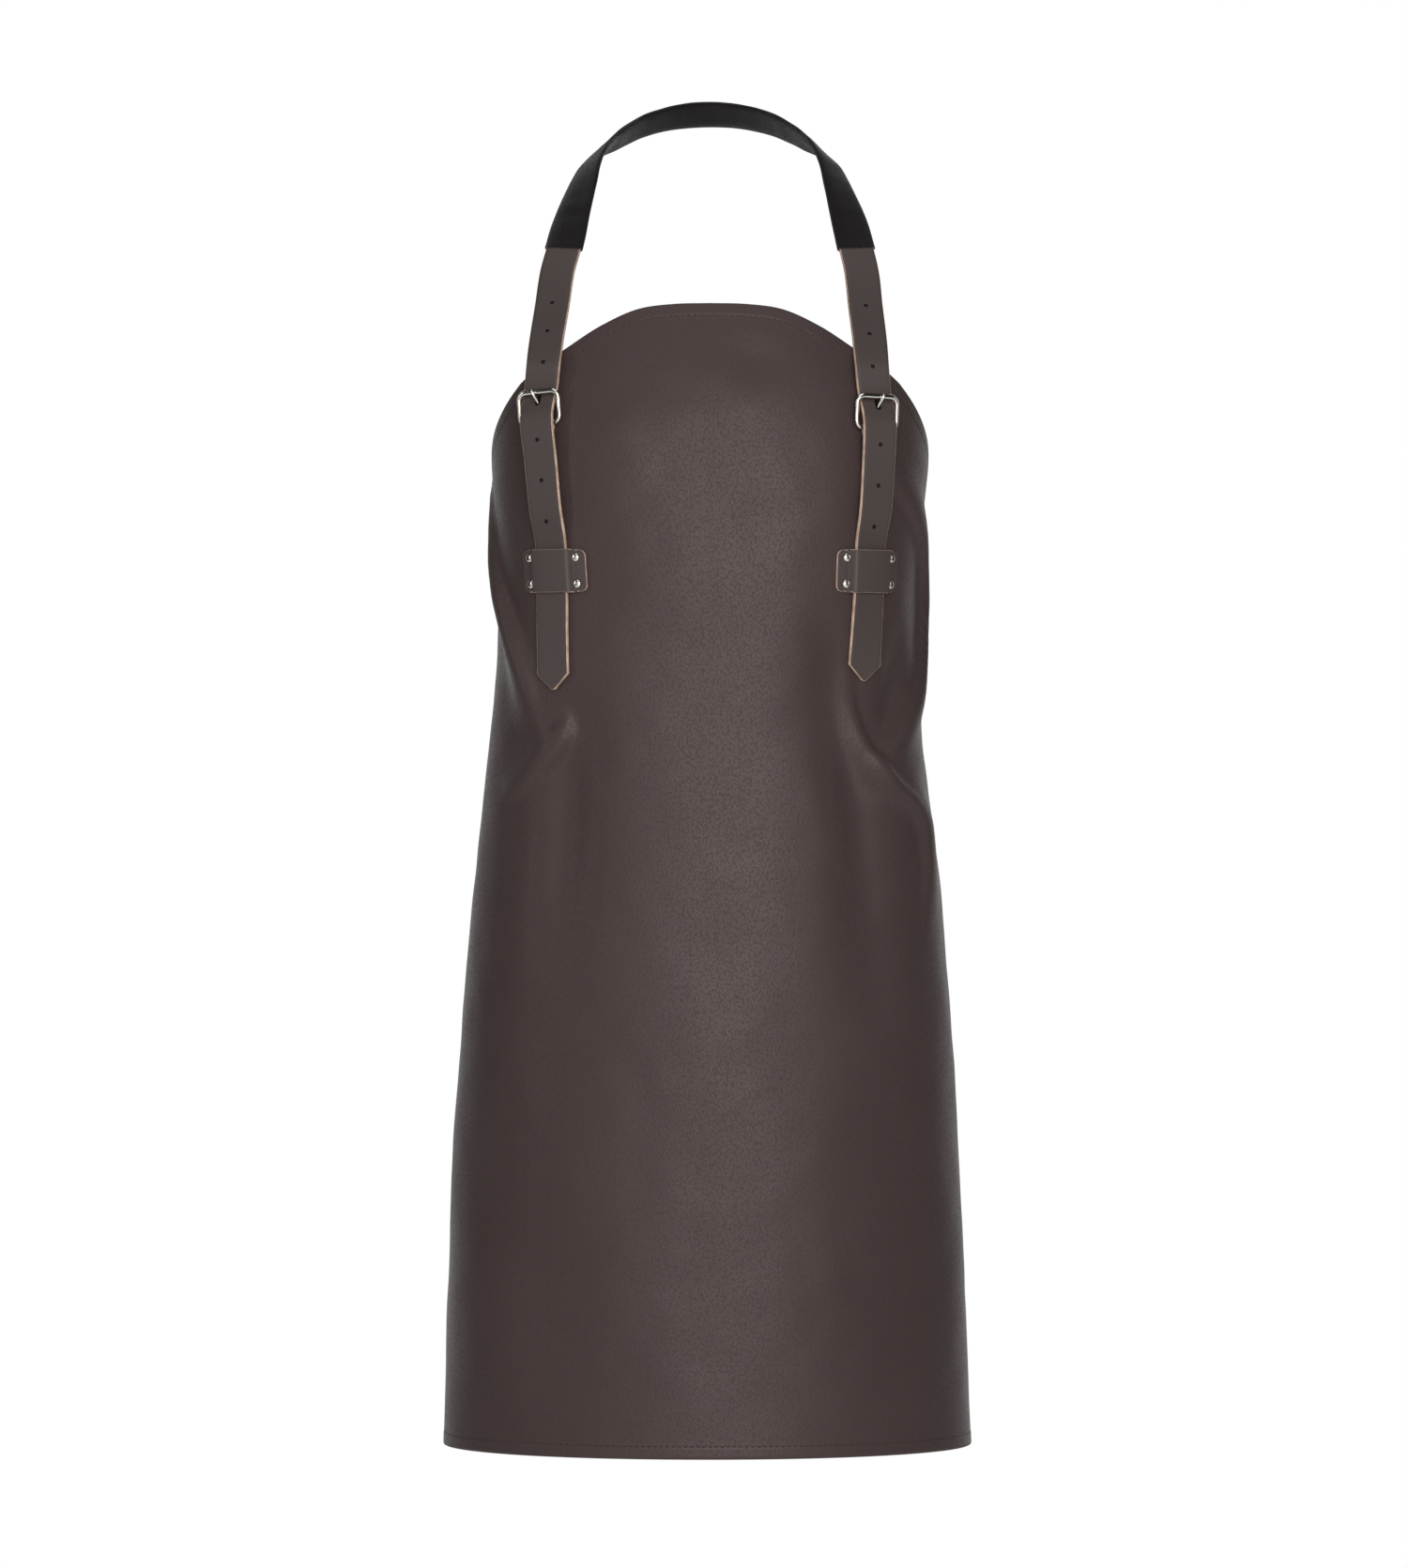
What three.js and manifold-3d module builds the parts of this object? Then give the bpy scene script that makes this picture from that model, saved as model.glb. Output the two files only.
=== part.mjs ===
// Leather bib apron with a neck strap, in the form that it has when it is worn.
// Millimetres, +Z up. The front faces -Y, and +X is to the right of someone who looks at it.
// The origin is behind the neck, in the middle of the neck sleeve's inner face.
import * as THREE from 'three';
import { mergeVertices } from 'three/addons/utils/BufferGeometryUtils.js';
import Module from 'manifold-3d';

const wasm = await Module();
wasm.setup();

// Clearance between pieces that touch on the real apron, and how far a cutter runs past them.
const GAP = 0.3;
const CUT_REACH = 15;

// How the apron sits on the body: from the neck down to the bib, and from the neck to the chest.
const BODY = {
  bib_drop: 143,
  chest_depth: 180,
  chest_lean: 30,
};

// Leather panel, measured on the leather where it says flat.
const PANEL = {
  height: 815,
  thickness: 1.6,
  half_width: 189,
  side_depth: 145,
  flat_half_width: 300,
  corner_drop: 56,
  rows: 35,
  columns: 30,
  row_easing: 1.15,
};

// Sections across the body, from the bib's top edge (level 0) down to the hem (level 1).
// half_width and side_depth are shares of the panel's own, set_back is a share of the chest's
// lean, and shift is a share of the half width. Squareness 2 is an ellipse.
const SECTIONS = [
  { level: 0.00, half_width: 0.825, side_depth: 0.84, squareness: 2.4, set_back: 1.15, shift: 0.000 },
  { level: 0.05, half_width: 0.825, side_depth: 0.81, squareness: 2.4, set_back: 0.62, shift: 0.000 },
  { level: 0.10, half_width: 0.825, side_depth: 0.79, squareness: 2.4, set_back: 0.24, shift: 0.000 },
  { level: 0.14, half_width: 0.822, side_depth: 0.77, squareness: 2.4, set_back: 0.08, shift: 0.000 },
  { level: 0.20, half_width: 0.800, side_depth: 0.75, squareness: 2.4, set_back: 0.00, shift: -0.006 },
  { level: 0.31, half_width: 0.792, side_depth: 0.73, squareness: 2.3, set_back: 0.02, shift: -0.016 },
  { level: 0.42, half_width: 0.836, side_depth: 0.78, squareness: 2.25, set_back: -0.06, shift: -0.012 },
  { level: 0.55, half_width: 0.898, side_depth: 0.85, squareness: 2.2, set_back: -0.14, shift: -0.012 },
  { level: 0.75, half_width: 0.960, side_depth: 0.93, squareness: 2.12, set_back: -0.24, shift: -0.015 },
  { level: 1.00, half_width: 1.000, side_depth: 1.00, squareness: 2.05, set_back: -0.32, shift: -0.010 },
];

// Top edge of the bib, from its middle out to the shoulder corner.
const TOP_EDGE = [
  { across: 0.00, drop: 0.000 },
  { across: 0.18, drop: 0.012 },
  { across: 0.35, drop: 0.075 },
  { across: 0.53, drop: 0.280 },
  { across: 0.72, drop: 0.575 },
  { across: 0.86, drop: 0.775 },
  { across: 1.00, drop: 1.000 },
];

// Side edge: how far the leather reaches on the flat, as a share of its flat half width.
const SIDE_EDGE = [
  { level: 0.069, reach: 0.490 },
  { level: 0.097, reach: 0.590 },
  { level: 0.134, reach: 0.725 },
  { level: 0.165, reach: 0.805 },
  { level: 0.205, reach: 0.875 },
  { level: 0.255, reach: 0.930 },
  { level: 0.330, reach: 0.965 },
  { level: 0.550, reach: 0.985 },
  { level: 1.000, reach: 1.000 },
];

// Folds and hollows. Each runs from a point by a second to a third, given across and down: a
// share of the way from the middle to the outline seen from the front, and a share of the
// panel's height. height is a share of FOLD.height, a hollow being negative, and width is a
// share of FOLD.width. Each one swells towards its middle and dies out at its ends.
const FOLD = { height: 10, width: 20, swell: 0.65 };
const FOLDS = [
  {
    name: 'left waist ridge', height: 0.95, width: 0.75,
    from: [-0.98, 0.170], by: [-0.76, 0.272], to: [-0.57, 0.365],
  },
  {
    name: 'left waist hollow', height: -0.35, width: 1.1,
    from: [-0.90, 0.260], by: [-0.82, 0.320], to: [-0.72, 0.380],
  },
  {
    name: 'left fold tip', height: 0.8, width: 0.7,
    from: [-0.49, 0.358], by: [-0.50, 0.386], to: [-0.66, 0.422],
  },
  {
    name: 'left skirt hollow', height: -0.75, width: 0.9,
    from: [-0.45, 0.376], by: [-0.45, 0.445], to: [-0.44, 0.560],
  },
  {
    name: 'right waist ridge', height: 0.95, width: 0.75,
    from: [0.66, 0.160], by: [0.97, 0.272], to: [0.60, 0.392],
  },
  {
    name: 'right waist hollow', height: -0.6, width: 0.7,
    from: [0.72, 0.300], by: [0.68, 0.338], to: [0.60, 0.380],
  },
  {
    name: 'right fold', height: 0.8, width: 0.65,
    from: [0.49, 0.328], by: [0.54, 0.388], to: [0.70, 0.432],
  },
  {
    name: 'right skirt swell', height: 0.7, width: 0.9,
    from: [0.64, 0.420], by: [0.78, 0.456], to: [0.75, 0.530],
  },
  {
    name: 'right skirt hollow', height: -0.75, width: 0.9,
    from: [0.44, 0.300], by: [0.49, 0.415], to: [0.50, 0.600],
  },
  {
    name: 'bib dent', height: -0.2, width: 0.8,
    from: [0.06, 0.045], by: [0.14, 0.050], to: [0.24, 0.055],
  },
  {
    name: 'chest dent', height: -0.2, width: 1.,
    from: [0.08, 0.185], by: [0.18, 0.188], to: [0.30, 0.180],
  },
];

// Neck strap and its holes.
const STRAP = {
  width: 25,
  thickness: 3,
  half_span: 120,
  tip_length: 11,
  tip_flat: 2,
  hole_diameter: 4.4,
  hole_pitch: 29,
  holes_below_prong: 3,
  holes_above_prong: 3,
  prong_hole_length: 9.4,
  hole_sides: 6,
  step: 11.5,
  buckle_step: 5,
  lift: 0.9,
};

// The two ends differ a little, as they do when it is worn. out is measured from the middle of
// the apron on the flat leather, and the levels are shares of the panel's height. inward is how
// far the strap is drawn in just above the buckle.
const SIDES = [
  {
    name: 'left', sign: -1, buckle_out: 121.5, buckle_level: 0.107,
    keeper_out: 112, keeper_level: 0.231, tip_out: 110, tip_level: 0.336, inward: 1,
  },
  {
    name: 'right', sign: 1, buckle_out: 118.5, buckle_level: 0.111,
    keeper_out: 118, keeper_level: 0.231, tip_out: 116, tip_level: 0.328, inward: 4.5,
  },
];

// Lower end of the strap, from its tip (0) to the buckle's lower bar (1). height is a share of
// the buckle's own height over the panel.
const STRAP_END = [
  { along: 0.00, height: 0 },
  { along: 0.20, height: 0 },
  { along: 0.36, height: 0 },
  { along: 0.56, height: 0 },
  { along: 0.68, height: 0.44 },
  { along: 0.86, height: 0.66 },
];

// Strap inside the buckle, from over the lower bar (0) to under the top bar (1).
const STRAP_IN_BUCKLE = [
  { along: 0.00, height: 0.00 },
  { along: 0.36, height: 0.08 },
  { along: 0.68, height: 0.50 },
  { along: 1.00, height: 1.00 },
];

// Strap from the buckle over the shoulder to the neck. out is a share of the strap's half span,
// forward of the chest's depth and down of the bib's drop. turn and tip, in degrees, set the
// strap's width: 0 and 0 point outwards, a turn of 90 points back, a tip of 90 points down.
const SHOULDER = [
  { out: 0.990, forward: 0.822, down: 1.305, turn: 20, tip: 0 },
  { out: 0.972, forward: 0.750, down: 1.180, turn: 18, tip: 0 },
  { out: 0.940, forward: 0.618, down: 1.000, turn: 17, tip: -2 },
  { out: 0.910, forward: 0.500, down: 0.822, turn: 17, tip: -4 },
  { out: 0.868, forward: 0.430, down: 0.688, turn: 18, tip: -5 },
  { out: 0.83, forward: 0.36, down: 0.55, turn: 27, tip: -2 },
  { out: 0.77, forward: 0.28, down: 0.38, turn: 44, tip: 3 },
  { out: 0.72, forward: 0.22, down: 0.26, turn: 57, tip: 9 },
  { out: 0.66, forward: 0.17, down: 0.19, turn: 68, tip: 16 },
  { out: 0.55, forward: 0.11, down: 0.12, turn: 80, tip: 25 },
  { out: 0.38, forward: 0.045, down: 0.04, turn: 85, tip: 29 },
  { out: 0.18, forward: 0.005, down: -0.005, turn: 88, tip: 32 },
];
const NECK_TIP = 33;

// Row of the table where the two straps are alike again.
const SHOULDER_FADE = 4;

// Fabric sleeve on the strap behind the neck.
const SLEEVE = { length: 372, width: 28.6, wall: 1.0, slack: 0.35 };

// Wire buckle. Its lower bar is the pivot that the chape and the prong's eye go round.
const BUCKLE = {
  inner_width: 28,
  wire: 3,
  top_bar: 4,
  bar_distance: 23,
  corner_radius: 5.5,
  corner_steps: 3,
  tilt: 10,
  twist: 9,
  uprightness: 0.3,
  stand_off: 1.6,
  strap_slack: 0.3,
  sides: 8,
};
const PRONG = { wire: 2.2, lean: 3.2, hole_at: 0.7, sides: 6, steps: 11, eye_steps: 10 };
const CHAPE = {
  layer: 2,
  length: 52,
  step: 13,
  loop_sides: 10,
  slot_width: 5,
  slot_length: 9,
  rivet_at: 0.72,
  rivet_sink: 1.3,
  rivet_cap: 0.8,
};

// Leather plate over the strap, and its rivets.
const KEEPER = {
  width: 52,
  height: 30,
  thickness: 2,
  corner_radius: 5,
  seat: 0.55,
  strap_room: 1.1,
  ramp: 2.4,
  trim: 2,
  rivet_spacing: 38,
  rivet_rise: 18.5,
};
const RIVET = {
  cap_diameter: 6,
  cap_height: 1.8,
  rim: 0.25,
  dome: 54,
  post_diameter: 3,
  back_height: 1,
  seat: 0.2,
  sides: 8,
  hole_sides: 6,
};

const LEATHER = { color: 0x4a3d3a, roughness: 0.62, metalness: 0 };
const STRAP_LEATHER = { color: 0x3d3330, roughness: 0.55, metalness: 0 };
const METAL = { color: 0xcfcac2, roughness: 0.25, metalness: 1 };
const FABRIC = { color: 0x181717, roughness: 0.95, metalness: 0 };

const degrees = THREE.MathUtils.degToRad;
const group = new THREE.Group();

// Smooth curve through one column of a table, read at a value of its key column.
function readColumn(rows, key, name, at) {
  const clamped = THREE.MathUtils.clamp(at, rows[0][key], rows[rows.length - 1][key]);
  let i = 0;
  while (i < rows.length - 2 && clamped > rows[i + 1][key]) i += 1;
  const slope = (a, b) => (rows[b][name] - rows[a][name]) / (rows[b][key] - rows[a][key]);
  const tangent = (k) => {
    if (k === 0) return slope(0, 1);
    if (k === rows.length - 1) return slope(k - 1, k);
    return (slope(k - 1, k) + slope(k, k + 1)) / 2;
  };
  const span = rows[i + 1][key] - rows[i][key];
  const t = (clamped - rows[i][key]) / span;
  return (2 * t ** 3 - 3 * t ** 2 + 1) * rows[i][name] + (t ** 3 - 2 * t ** 2 + t) * span * tangent(i)
    + (3 * t ** 2 - 2 * t ** 3) * rows[i + 1][name] + (t ** 3 - t ** 2) * span * tangent(i + 1);
}

// One section across the body, as points with their distance along the leather, from the
// middle of the front round to the back.
const SECTION = { steps: 72, sweep: degrees(165), easing: 1.15 };
function sectionAt(level) {
  const read = (name) => readColumn(SECTIONS, 'level', name, level);
  const halfWidth = read('half_width') * PANEL.half_width;
  const sideDepth = read('side_depth') * PANEL.side_depth;
  const power = 2 / read('squareness');
  const shift = read('shift') * PANEL.half_width;
  const front = -BODY.chest_depth + read('set_back') * BODY.chest_lean;
  const points = [];
  let along = 0;
  for (let i = 0; i <= SECTION.steps; i += 1) {
    const angle = SECTION.sweep * (i / SECTION.steps) ** SECTION.easing;
    const side = Math.sin(angle) ** power;
    const back = Math.sign(Math.cos(angle)) * Math.abs(Math.cos(angle)) ** power;
    const point = { x: halfWidth * side, y: sideDepth * (1 - back) };
    if (i > 0) along += Math.hypot(point.x - points[i - 1].x, point.y - points[i - 1].y);
    points.push({ ...point, along });
  }
  const outline = points.reduce((best, point) => (point.x > best.x ? point : best)).along;
  return { points, shift, front, outline };
}

// Point of the unfolded form, at a distance along the leather from the middle.
function bodyPoint(distance, level) {
  const { points, shift, front } = sectionAt(level);
  const reach = Math.min(Math.abs(distance), points[points.length - 1].along);
  let i = 1;
  while (i < points.length - 1 && points[i].along < reach) i += 1;
  const [a, b] = [points[i - 1], points[i]];
  const t = (reach - a.along) / (b.along - a.along);
  return new THREE.Vector3(
    shift + Math.sign(distance) * (a.x + (b.x - a.x) * t),
    front + a.y + (b.y - a.y) * t,
    -BODY.bib_drop - level * PANEL.height,
  );
}

// Outward normal and the directions across and up, of a surface given as a function.
function surfaceFrame(surface, distance, level) {
  const reach = 4;
  const rise = reach / PANEL.height;
  const across = surface(distance + reach, level).sub(surface(distance - reach, level)).normalize();
  const up = surface(distance, level - rise).sub(surface(distance, level + rise)).normalize();
  const normal = new THREE.Vector3().crossVectors(across, up).normalize();
  return { across, up, normal };
}

// Height of the folds over the unfolded form.
function foldHeight(distance, level) {
  const { outline } = sectionAt(level);
  let height = 0;
  for (const fold of FOLDS) {
    const [from, by, to] = [fold.from, fold.by, fold.to].map(([across, down]) => (
      new THREE.Vector2(across * outline, down * PANEL.height)));
    const control = by.multiplyScalar(2).addScaledVector(from, -0.5).addScaledVector(to, -0.5);
    const line = new THREE.QuadraticBezierCurve(from, control, to);
    const here = new THREE.Vector2(distance, level * PANEL.height);
    let nearest = Infinity;
    let at = 0;
    const steps = 12;
    for (let i = 0; i <= steps; i += 1) {
      const gap = line.getPoint(i / steps).distanceTo(here);
      if (gap < nearest) [nearest, at] = [gap, i / steps];
    }
    const swell = 1 - FOLD.swell + FOLD.swell * Math.sin(Math.PI * at);
    const fade = Math.exp(-((nearest / (fold.width * FOLD.width)) ** 2));
    height += fold.height * FOLD.height * swell * fade;
  }
  return height;
}

// Smooth form of the middle of the leather's thickness.
function smoothPoint(distance, level) {
  const { normal } = surfaceFrame(bodyPoint, distance, level);
  return bodyPoint(distance, level).addScaledVector(normal, foldHeight(distance, level));
}

// Level of the top edge at a share of the way to the shoulder corner.
function topLevel(share) {
  return (readColumn(TOP_EDGE, 'across', 'drop', Math.abs(share)) * PANEL.corner_drop) / PANEL.height;
}

// Half of the leather's flat width in the row that ends at this share of the side edge.
function rowReach(down) {
  const corner = PANEL.corner_drop / PANEL.height;
  return readColumn(SIDE_EDGE, 'level', 'reach', corner + (1 - corner) * down) * PANEL.flat_half_width;
}

// Rows run from the top edge to the hem, and columns from one side edge to the other.
const panelRows = Array.from({ length: PANEL.rows + 1 }, (_, i) => {
  const down = (i / PANEL.rows) ** PANEL.row_easing;
  return Array.from({ length: PANEL.columns + 1 }, (_unused, j) => {
    const share = (2 * j) / PANEL.columns - 1;
    const top = topLevel(share);
    const [distance, level] = [share * rowReach(down), top + (1 - top) * down];
    return { point: smoothPoint(distance, level), ...surfaceFrame(smoothPoint, distance, level) };
  });
});

// Point on the sheet as it is made, between its rows and columns.
function panelPoint(distance, level) {
  let share = distance / PANEL.flat_half_width;
  let down = level;
  for (let i = 0; i < 12; i += 1) {
    const top = topLevel(THREE.MathUtils.clamp(share, -1, 1));
    down = THREE.MathUtils.clamp((level - top) / (1 - top), 0, 1);
    share = distance / rowReach(down);
  }
  const row = down ** (1 / PANEL.row_easing) * PANEL.rows;
  const column = ((share + 1) / 2) * PANEL.columns;
  const i = THREE.MathUtils.clamp(Math.floor(row), 0, PANEL.rows - 1);
  const j = THREE.MathUtils.clamp(Math.floor(column), 0, PANEL.columns - 1);
  const side = (r) => panelRows[r][j].point.clone().lerp(panelRows[r][j + 1].point, column - j);
  return side(i).lerp(side(i + 1), row - i);
}

function panelFrame(distance, level) {
  return { point: panelPoint(distance, level), ...surfaceFrame(panelPoint, distance, level) };
}

// Geometry from points and triangles, turned so that its faces point out.
function solidGeometry(points, triangles) {
  let volume = 0;
  for (const [a, b, c] of triangles) {
    volume += points[a].dot(new THREE.Vector3().crossVectors(points[b], points[c]));
  }
  const faces = volume < 0 ? triangles.map(([a, b, c]) => [a, c, b]) : triangles;
  const positions = points.flatMap((point) => point.toArray());
  const geometry = new THREE.BufferGeometry();
  geometry.setAttribute('position', new THREE.Float32BufferAttribute(positions, 3));
  geometry.setIndex(faces.flat());
  return geometry;
}

// Shell between two grids of points, such as the two faces of a sheet of leather.
function shellGeometry(front, back) {
  const rows = front.length;
  const columns = front[0].length;
  const points = [...front.flat(), ...back.flat()];
  const frontAt = (i, j) => i * columns + j;
  const backAt = (i, j) => rows * columns + i * columns + j;
  const triangles = [];
  for (let i = 0; i < rows - 1; i += 1) {
    for (let j = 0; j < columns - 1; j += 1) {
      const corners = [[i, j], [i + 1, j], [i + 1, j + 1], [i, j + 1]];
      const [a, b, c, d] = corners.map(([r, s]) => frontAt(r, s));
      const [e, f, g, h] = corners.map(([r, s]) => backAt(r, s));
      triangles.push([a, b, c], [a, c, d], [e, g, f], [e, h, g]);
    }
  }
  const border = [];
  for (let i = 0; i < rows - 1; i += 1) border.push([i, 0]);
  for (let j = 0; j < columns - 1; j += 1) border.push([rows - 1, j]);
  for (let i = rows - 1; i > 0; i -= 1) border.push([i, columns - 1]);
  for (let j = columns - 1; j > 0; j -= 1) border.push([0, j]);
  border.forEach(([i, j], k) => {
    const [r, s] = border[(k + 1) % border.length];
    triangles.push([frontAt(r, s), frontAt(i, j), backAt(i, j)]);
    triangles.push([frontAt(r, s), backAt(i, j), backAt(r, s)]);
  });
  return solidGeometry(points, triangles);
}

// Solid through rings of points: closed on itself, or with a flat convex cap at each end.
function loftGeometry(rings, closed = false) {
  const sides = rings[0].length;
  const at = (i, j) => (i % rings.length) * sides + (j % sides);
  const triangles = [];
  const spans = closed ? rings.length : rings.length - 1;
  for (let i = 0; i < spans; i += 1) {
    for (let j = 0; j < sides; j += 1) {
      triangles.push([at(i, j), at(i, j + 1), at(i + 1, j + 1)]);
      triangles.push([at(i, j), at(i + 1, j + 1), at(i + 1, j)]);
    }
  }
  if (!closed) {
    for (let j = 1; j < sides - 1; j += 1) {
      triangles.push([at(0, 0), at(0, j + 1), at(0, j)]);
      triangles.push([at(rings.length - 1, 0), at(rings.length - 1, j), at(rings.length - 1, j + 1)]);
    }
  }
  return solidGeometry(rings.flat(), triangles);
}

function toManifold(geometry) {
  const bare = geometry.clone();
  bare.deleteAttribute('normal');
  bare.deleteAttribute('uv');
  const merged = mergeVertices(bare, 1e-4);
  return new wasm.Manifold(new wasm.Mesh({
    numProp: 3,
    vertProperties: new Float32Array(merged.attributes.position.array),
    triVerts: new Uint32Array(merged.index.array),
  }));
}

function fromManifold(solid) {
  const mesh = solid.getMesh();
  const geometry = new THREE.BufferGeometry();
  geometry.setAttribute('position', new THREE.Float32BufferAttribute(mesh.vertProperties, 3));
  geometry.setIndex([...mesh.triVerts]);
  return geometry;
}

function cutAway(geometry, cutters) {
  const solid = cutters.reduce((rest, cutter) => rest.subtract(toManifold(cutter)), toManifold(geometry));
  return fromManifold(solid);
}

function join(geometries) {
  const [first, ...others] = geometries.map(toManifold);
  return fromManifold(others.reduce((whole, part) => whole.add(part), first));
}

// Places geometry that is made at the origin in a frame of three directions.
function placeIn(geometry, origin, right, up, out) {
  return geometry.applyMatrix4(new THREE.Matrix4().makeBasis(right, up, out).setPosition(origin));
}

function addPiece(name, geometry, finish) {
  geometry.computeVertexNormals();
  const mesh = new THREE.Mesh(geometry, new THREE.MeshStandardMaterial(finish));
  mesh.name = name;
  group.add(mesh);
}

// Rod across a sheet, its middle at the origin and its axis along the local Z.
function crossRod(width, height, length, sides = 10) {
  const outline = new THREE.Shape();
  outline.absellipse(0, 0, width / 2, height / 2, 0, Math.PI * 2, false);
  const settings = { depth: length, bevelEnabled: false, curveSegments: sides / 2 };
  return new THREE.ExtrudeGeometry(outline, settings).translate(0, 0, -length / 2);
}

// Frame of one buckle: its origin is on the axis of the lower bar.
const eyeRadius = BUCKLE.wire / 2 + GAP + PRONG.wire;
const barHeight = eyeRadius + GAP + BUCKLE.stand_off;
function buckleFrame(side) {
  const { point, up, normal } = panelFrame(side.sign * side.buckle_out, side.buckle_level);
  const keeper = panelPoint(side.sign * side.keeper_out, side.keeper_level);
  const lean = point.clone().sub(keeper).normalize();
  const alongUp = lean.addScaledVector(normal, -lean.dot(normal)).lerp(up, BUCKLE.uprightness).normalize();
  const out = normal.clone().applyAxisAngle(alongUp, degrees(-side.sign * BUCKLE.twist));
  out.addScaledVector(alongUp, -out.dot(alongUp)).normalize();
  const right = new THREE.Vector3().crossVectors(alongUp, out);
  const origin = point.clone().addScaledVector(normal, PANEL.thickness / 2 + barHeight);
  return { origin, right, up: alongUp, out };
}

// Strap's own path from one tip over the neck to the other, with the direction of its width.
function sidePath(side) {
  const rows = [];
  const frame = buckleFrame(side);
  const outwards = frame.right.clone().multiplyScalar(side.sign);
  const half = STRAP.thickness / 2;
  const overBar = barHeight + eyeRadius + GAP;
  for (const { along, height } of STRAP_END) {
    const belowKeeper = (side.tip_level - side.keeper_level) / (side.tip_level - side.buckle_level);
    const level = THREE.MathUtils.lerp(side.tip_level, side.buckle_level, along);
    const distance = along < belowKeeper
      ? THREE.MathUtils.lerp(side.tip_out, side.keeper_out, along / belowKeeper)
      : THREE.MathUtils.lerp(side.keeper_out, side.buckle_out, (along - belowKeeper) / (1 - belowKeeper));
    const { point, across, normal } = panelFrame(side.sign * distance, level);
    const lift = PANEL.thickness / 2 + STRAP.lift + height * (overBar - STRAP.lift) + half;
    const width = across.multiplyScalar(side.sign).lerp(outwards, height).normalize();
    rows.push({ point: point.addScaledVector(normal, lift), width });
  }
  const tilt = degrees(BUCKLE.tilt);
  const topUp = BUCKLE.bar_distance * Math.cos(tilt);
  const underBar = BUCKLE.top_bar / 2 + GAP + BUCKLE.strap_slack + half;
  const topOut = BUCKLE.bar_distance * Math.sin(tilt) - underBar;
  const overOut = eyeRadius + GAP + half;
  for (const { along, height } of STRAP_IN_BUCKLE) {
    const out = THREE.MathUtils.lerp(overOut, topOut, height);
    const point = frame.origin.clone().addScaledVector(frame.up, topUp * along);
    rows.push({ point: point.addScaledVector(frame.out, out), width: outwards.clone() });
  }
  const [first, fade] = [SHOULDER[0].down, SHOULDER[SHOULDER_FADE].down];
  for (const { out, forward, down, turn, tip } of SHOULDER) {
    const inward = side.inward * THREE.MathUtils.clamp((down - fade) / (first - fade), 0, 1);
    const point = new THREE.Vector3(
      side.sign * (out * STRAP.half_span - inward), -forward * BODY.chest_depth, -down * BODY.bib_drop,
    );
    rows.push({ point, width: widthDirection(side.sign, turn, tip) });
  }
  return rows;
}

function widthDirection(sign, turn, tip) {
  const level = Math.cos(degrees(tip));
  return new THREE.Vector3(
    sign * Math.cos(degrees(turn)) * level, Math.sin(degrees(turn)) * level, -Math.sin(degrees(tip)),
  );
}

// The path passes behind the neck where the sleeve's inner face is at the origin.
const sleeveThickness = STRAP.thickness + 2 * (SLEEVE.slack + SLEEVE.wall);
const neckWidth = widthDirection(1, 90, NECK_TIP);
const neckOut = new THREE.Vector3().crossVectors(new THREE.Vector3(1, 0, 0), neckWidth).normalize();
const neckRow = { point: neckOut.clone().multiplyScalar(sleeveThickness / 2), width: neckWidth };
const [leftRows, rightRows] = SIDES.map(sidePath);
const pathRows = [...leftRows, neckRow, ...rightRows.reverse()];
const pathCurve = new THREE.CatmullRomCurve3(pathRows.map((row) => row.point), false, 'centripetal');
const widthCurve = new THREE.CatmullRomCurve3(pathRows.map((row) => row.width), false, 'catmullrom', 0.5);

// Distances along the path, so that holes and ends are placed by real lengths.
const PATH_STEPS = 1200;
const pathLengths = [0];
for (let i = 1; i <= PATH_STEPS; i += 1) {
  const step = pathCurve.getPoint(i / PATH_STEPS).distanceTo(pathCurve.getPoint((i - 1) / PATH_STEPS));
  pathLengths.push(pathLengths[i - 1] + step);
}
const pathLength = pathLengths[PATH_STEPS];

function pathShare(distance) {
  const reach = THREE.MathUtils.clamp(distance, 0, pathLength);
  let i = 1;
  while (i < PATH_STEPS && pathLengths[i] < reach) i += 1;
  const t = (reach - pathLengths[i - 1]) / (pathLengths[i] - pathLengths[i - 1]);
  return (i - 1 + t) / PATH_STEPS;
}

function pathFrame(distance) {
  const share = pathShare(distance);
  const along = pathCurve.getTangent(share);
  const width = widthCurve.getPoint(share);
  width.addScaledVector(along, -width.dot(along)).normalize();
  const out = new THREE.Vector3().crossVectors(along, width);
  return { point: pathCurve.getPoint(share), along, width, out };
}

// Distance along the path of the row with this number.
function rowDistance(row) {
  return pathLengths[Math.round((row / (pathRows.length - 1)) * PATH_STEPS)];
}

// Rectangular ring across the path, moved out from the strap's middle by offset.
function bandRing(distance, width, thickness, offset = 0, bevel = 0) {
  const { point, width: side, out } = pathFrame(distance);
  const [w, t] = [width / 2, thickness / 2];
  const outline = bevel > 0
    ? [[-w + bevel, -t], [w - bevel, -t], [w, -t + bevel], [w, t - bevel],
      [w - bevel, t], [-w + bevel, t], [-w, t - bevel], [-w, -t + bevel]]
    : [[-w, -t], [w, -t], [w, t], [-w, t]];
  return outline.map(([across, depth]) => point.clone()
    .addScaledVector(side, across).addScaledVector(out, depth + offset));
}

function stations(start, end, step) {
  const count = Math.ceil((end - start) / step);
  return Array.from({ length: count + 1 }, (_, i) => start + ((end - start) * i) / count);
}

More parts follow.
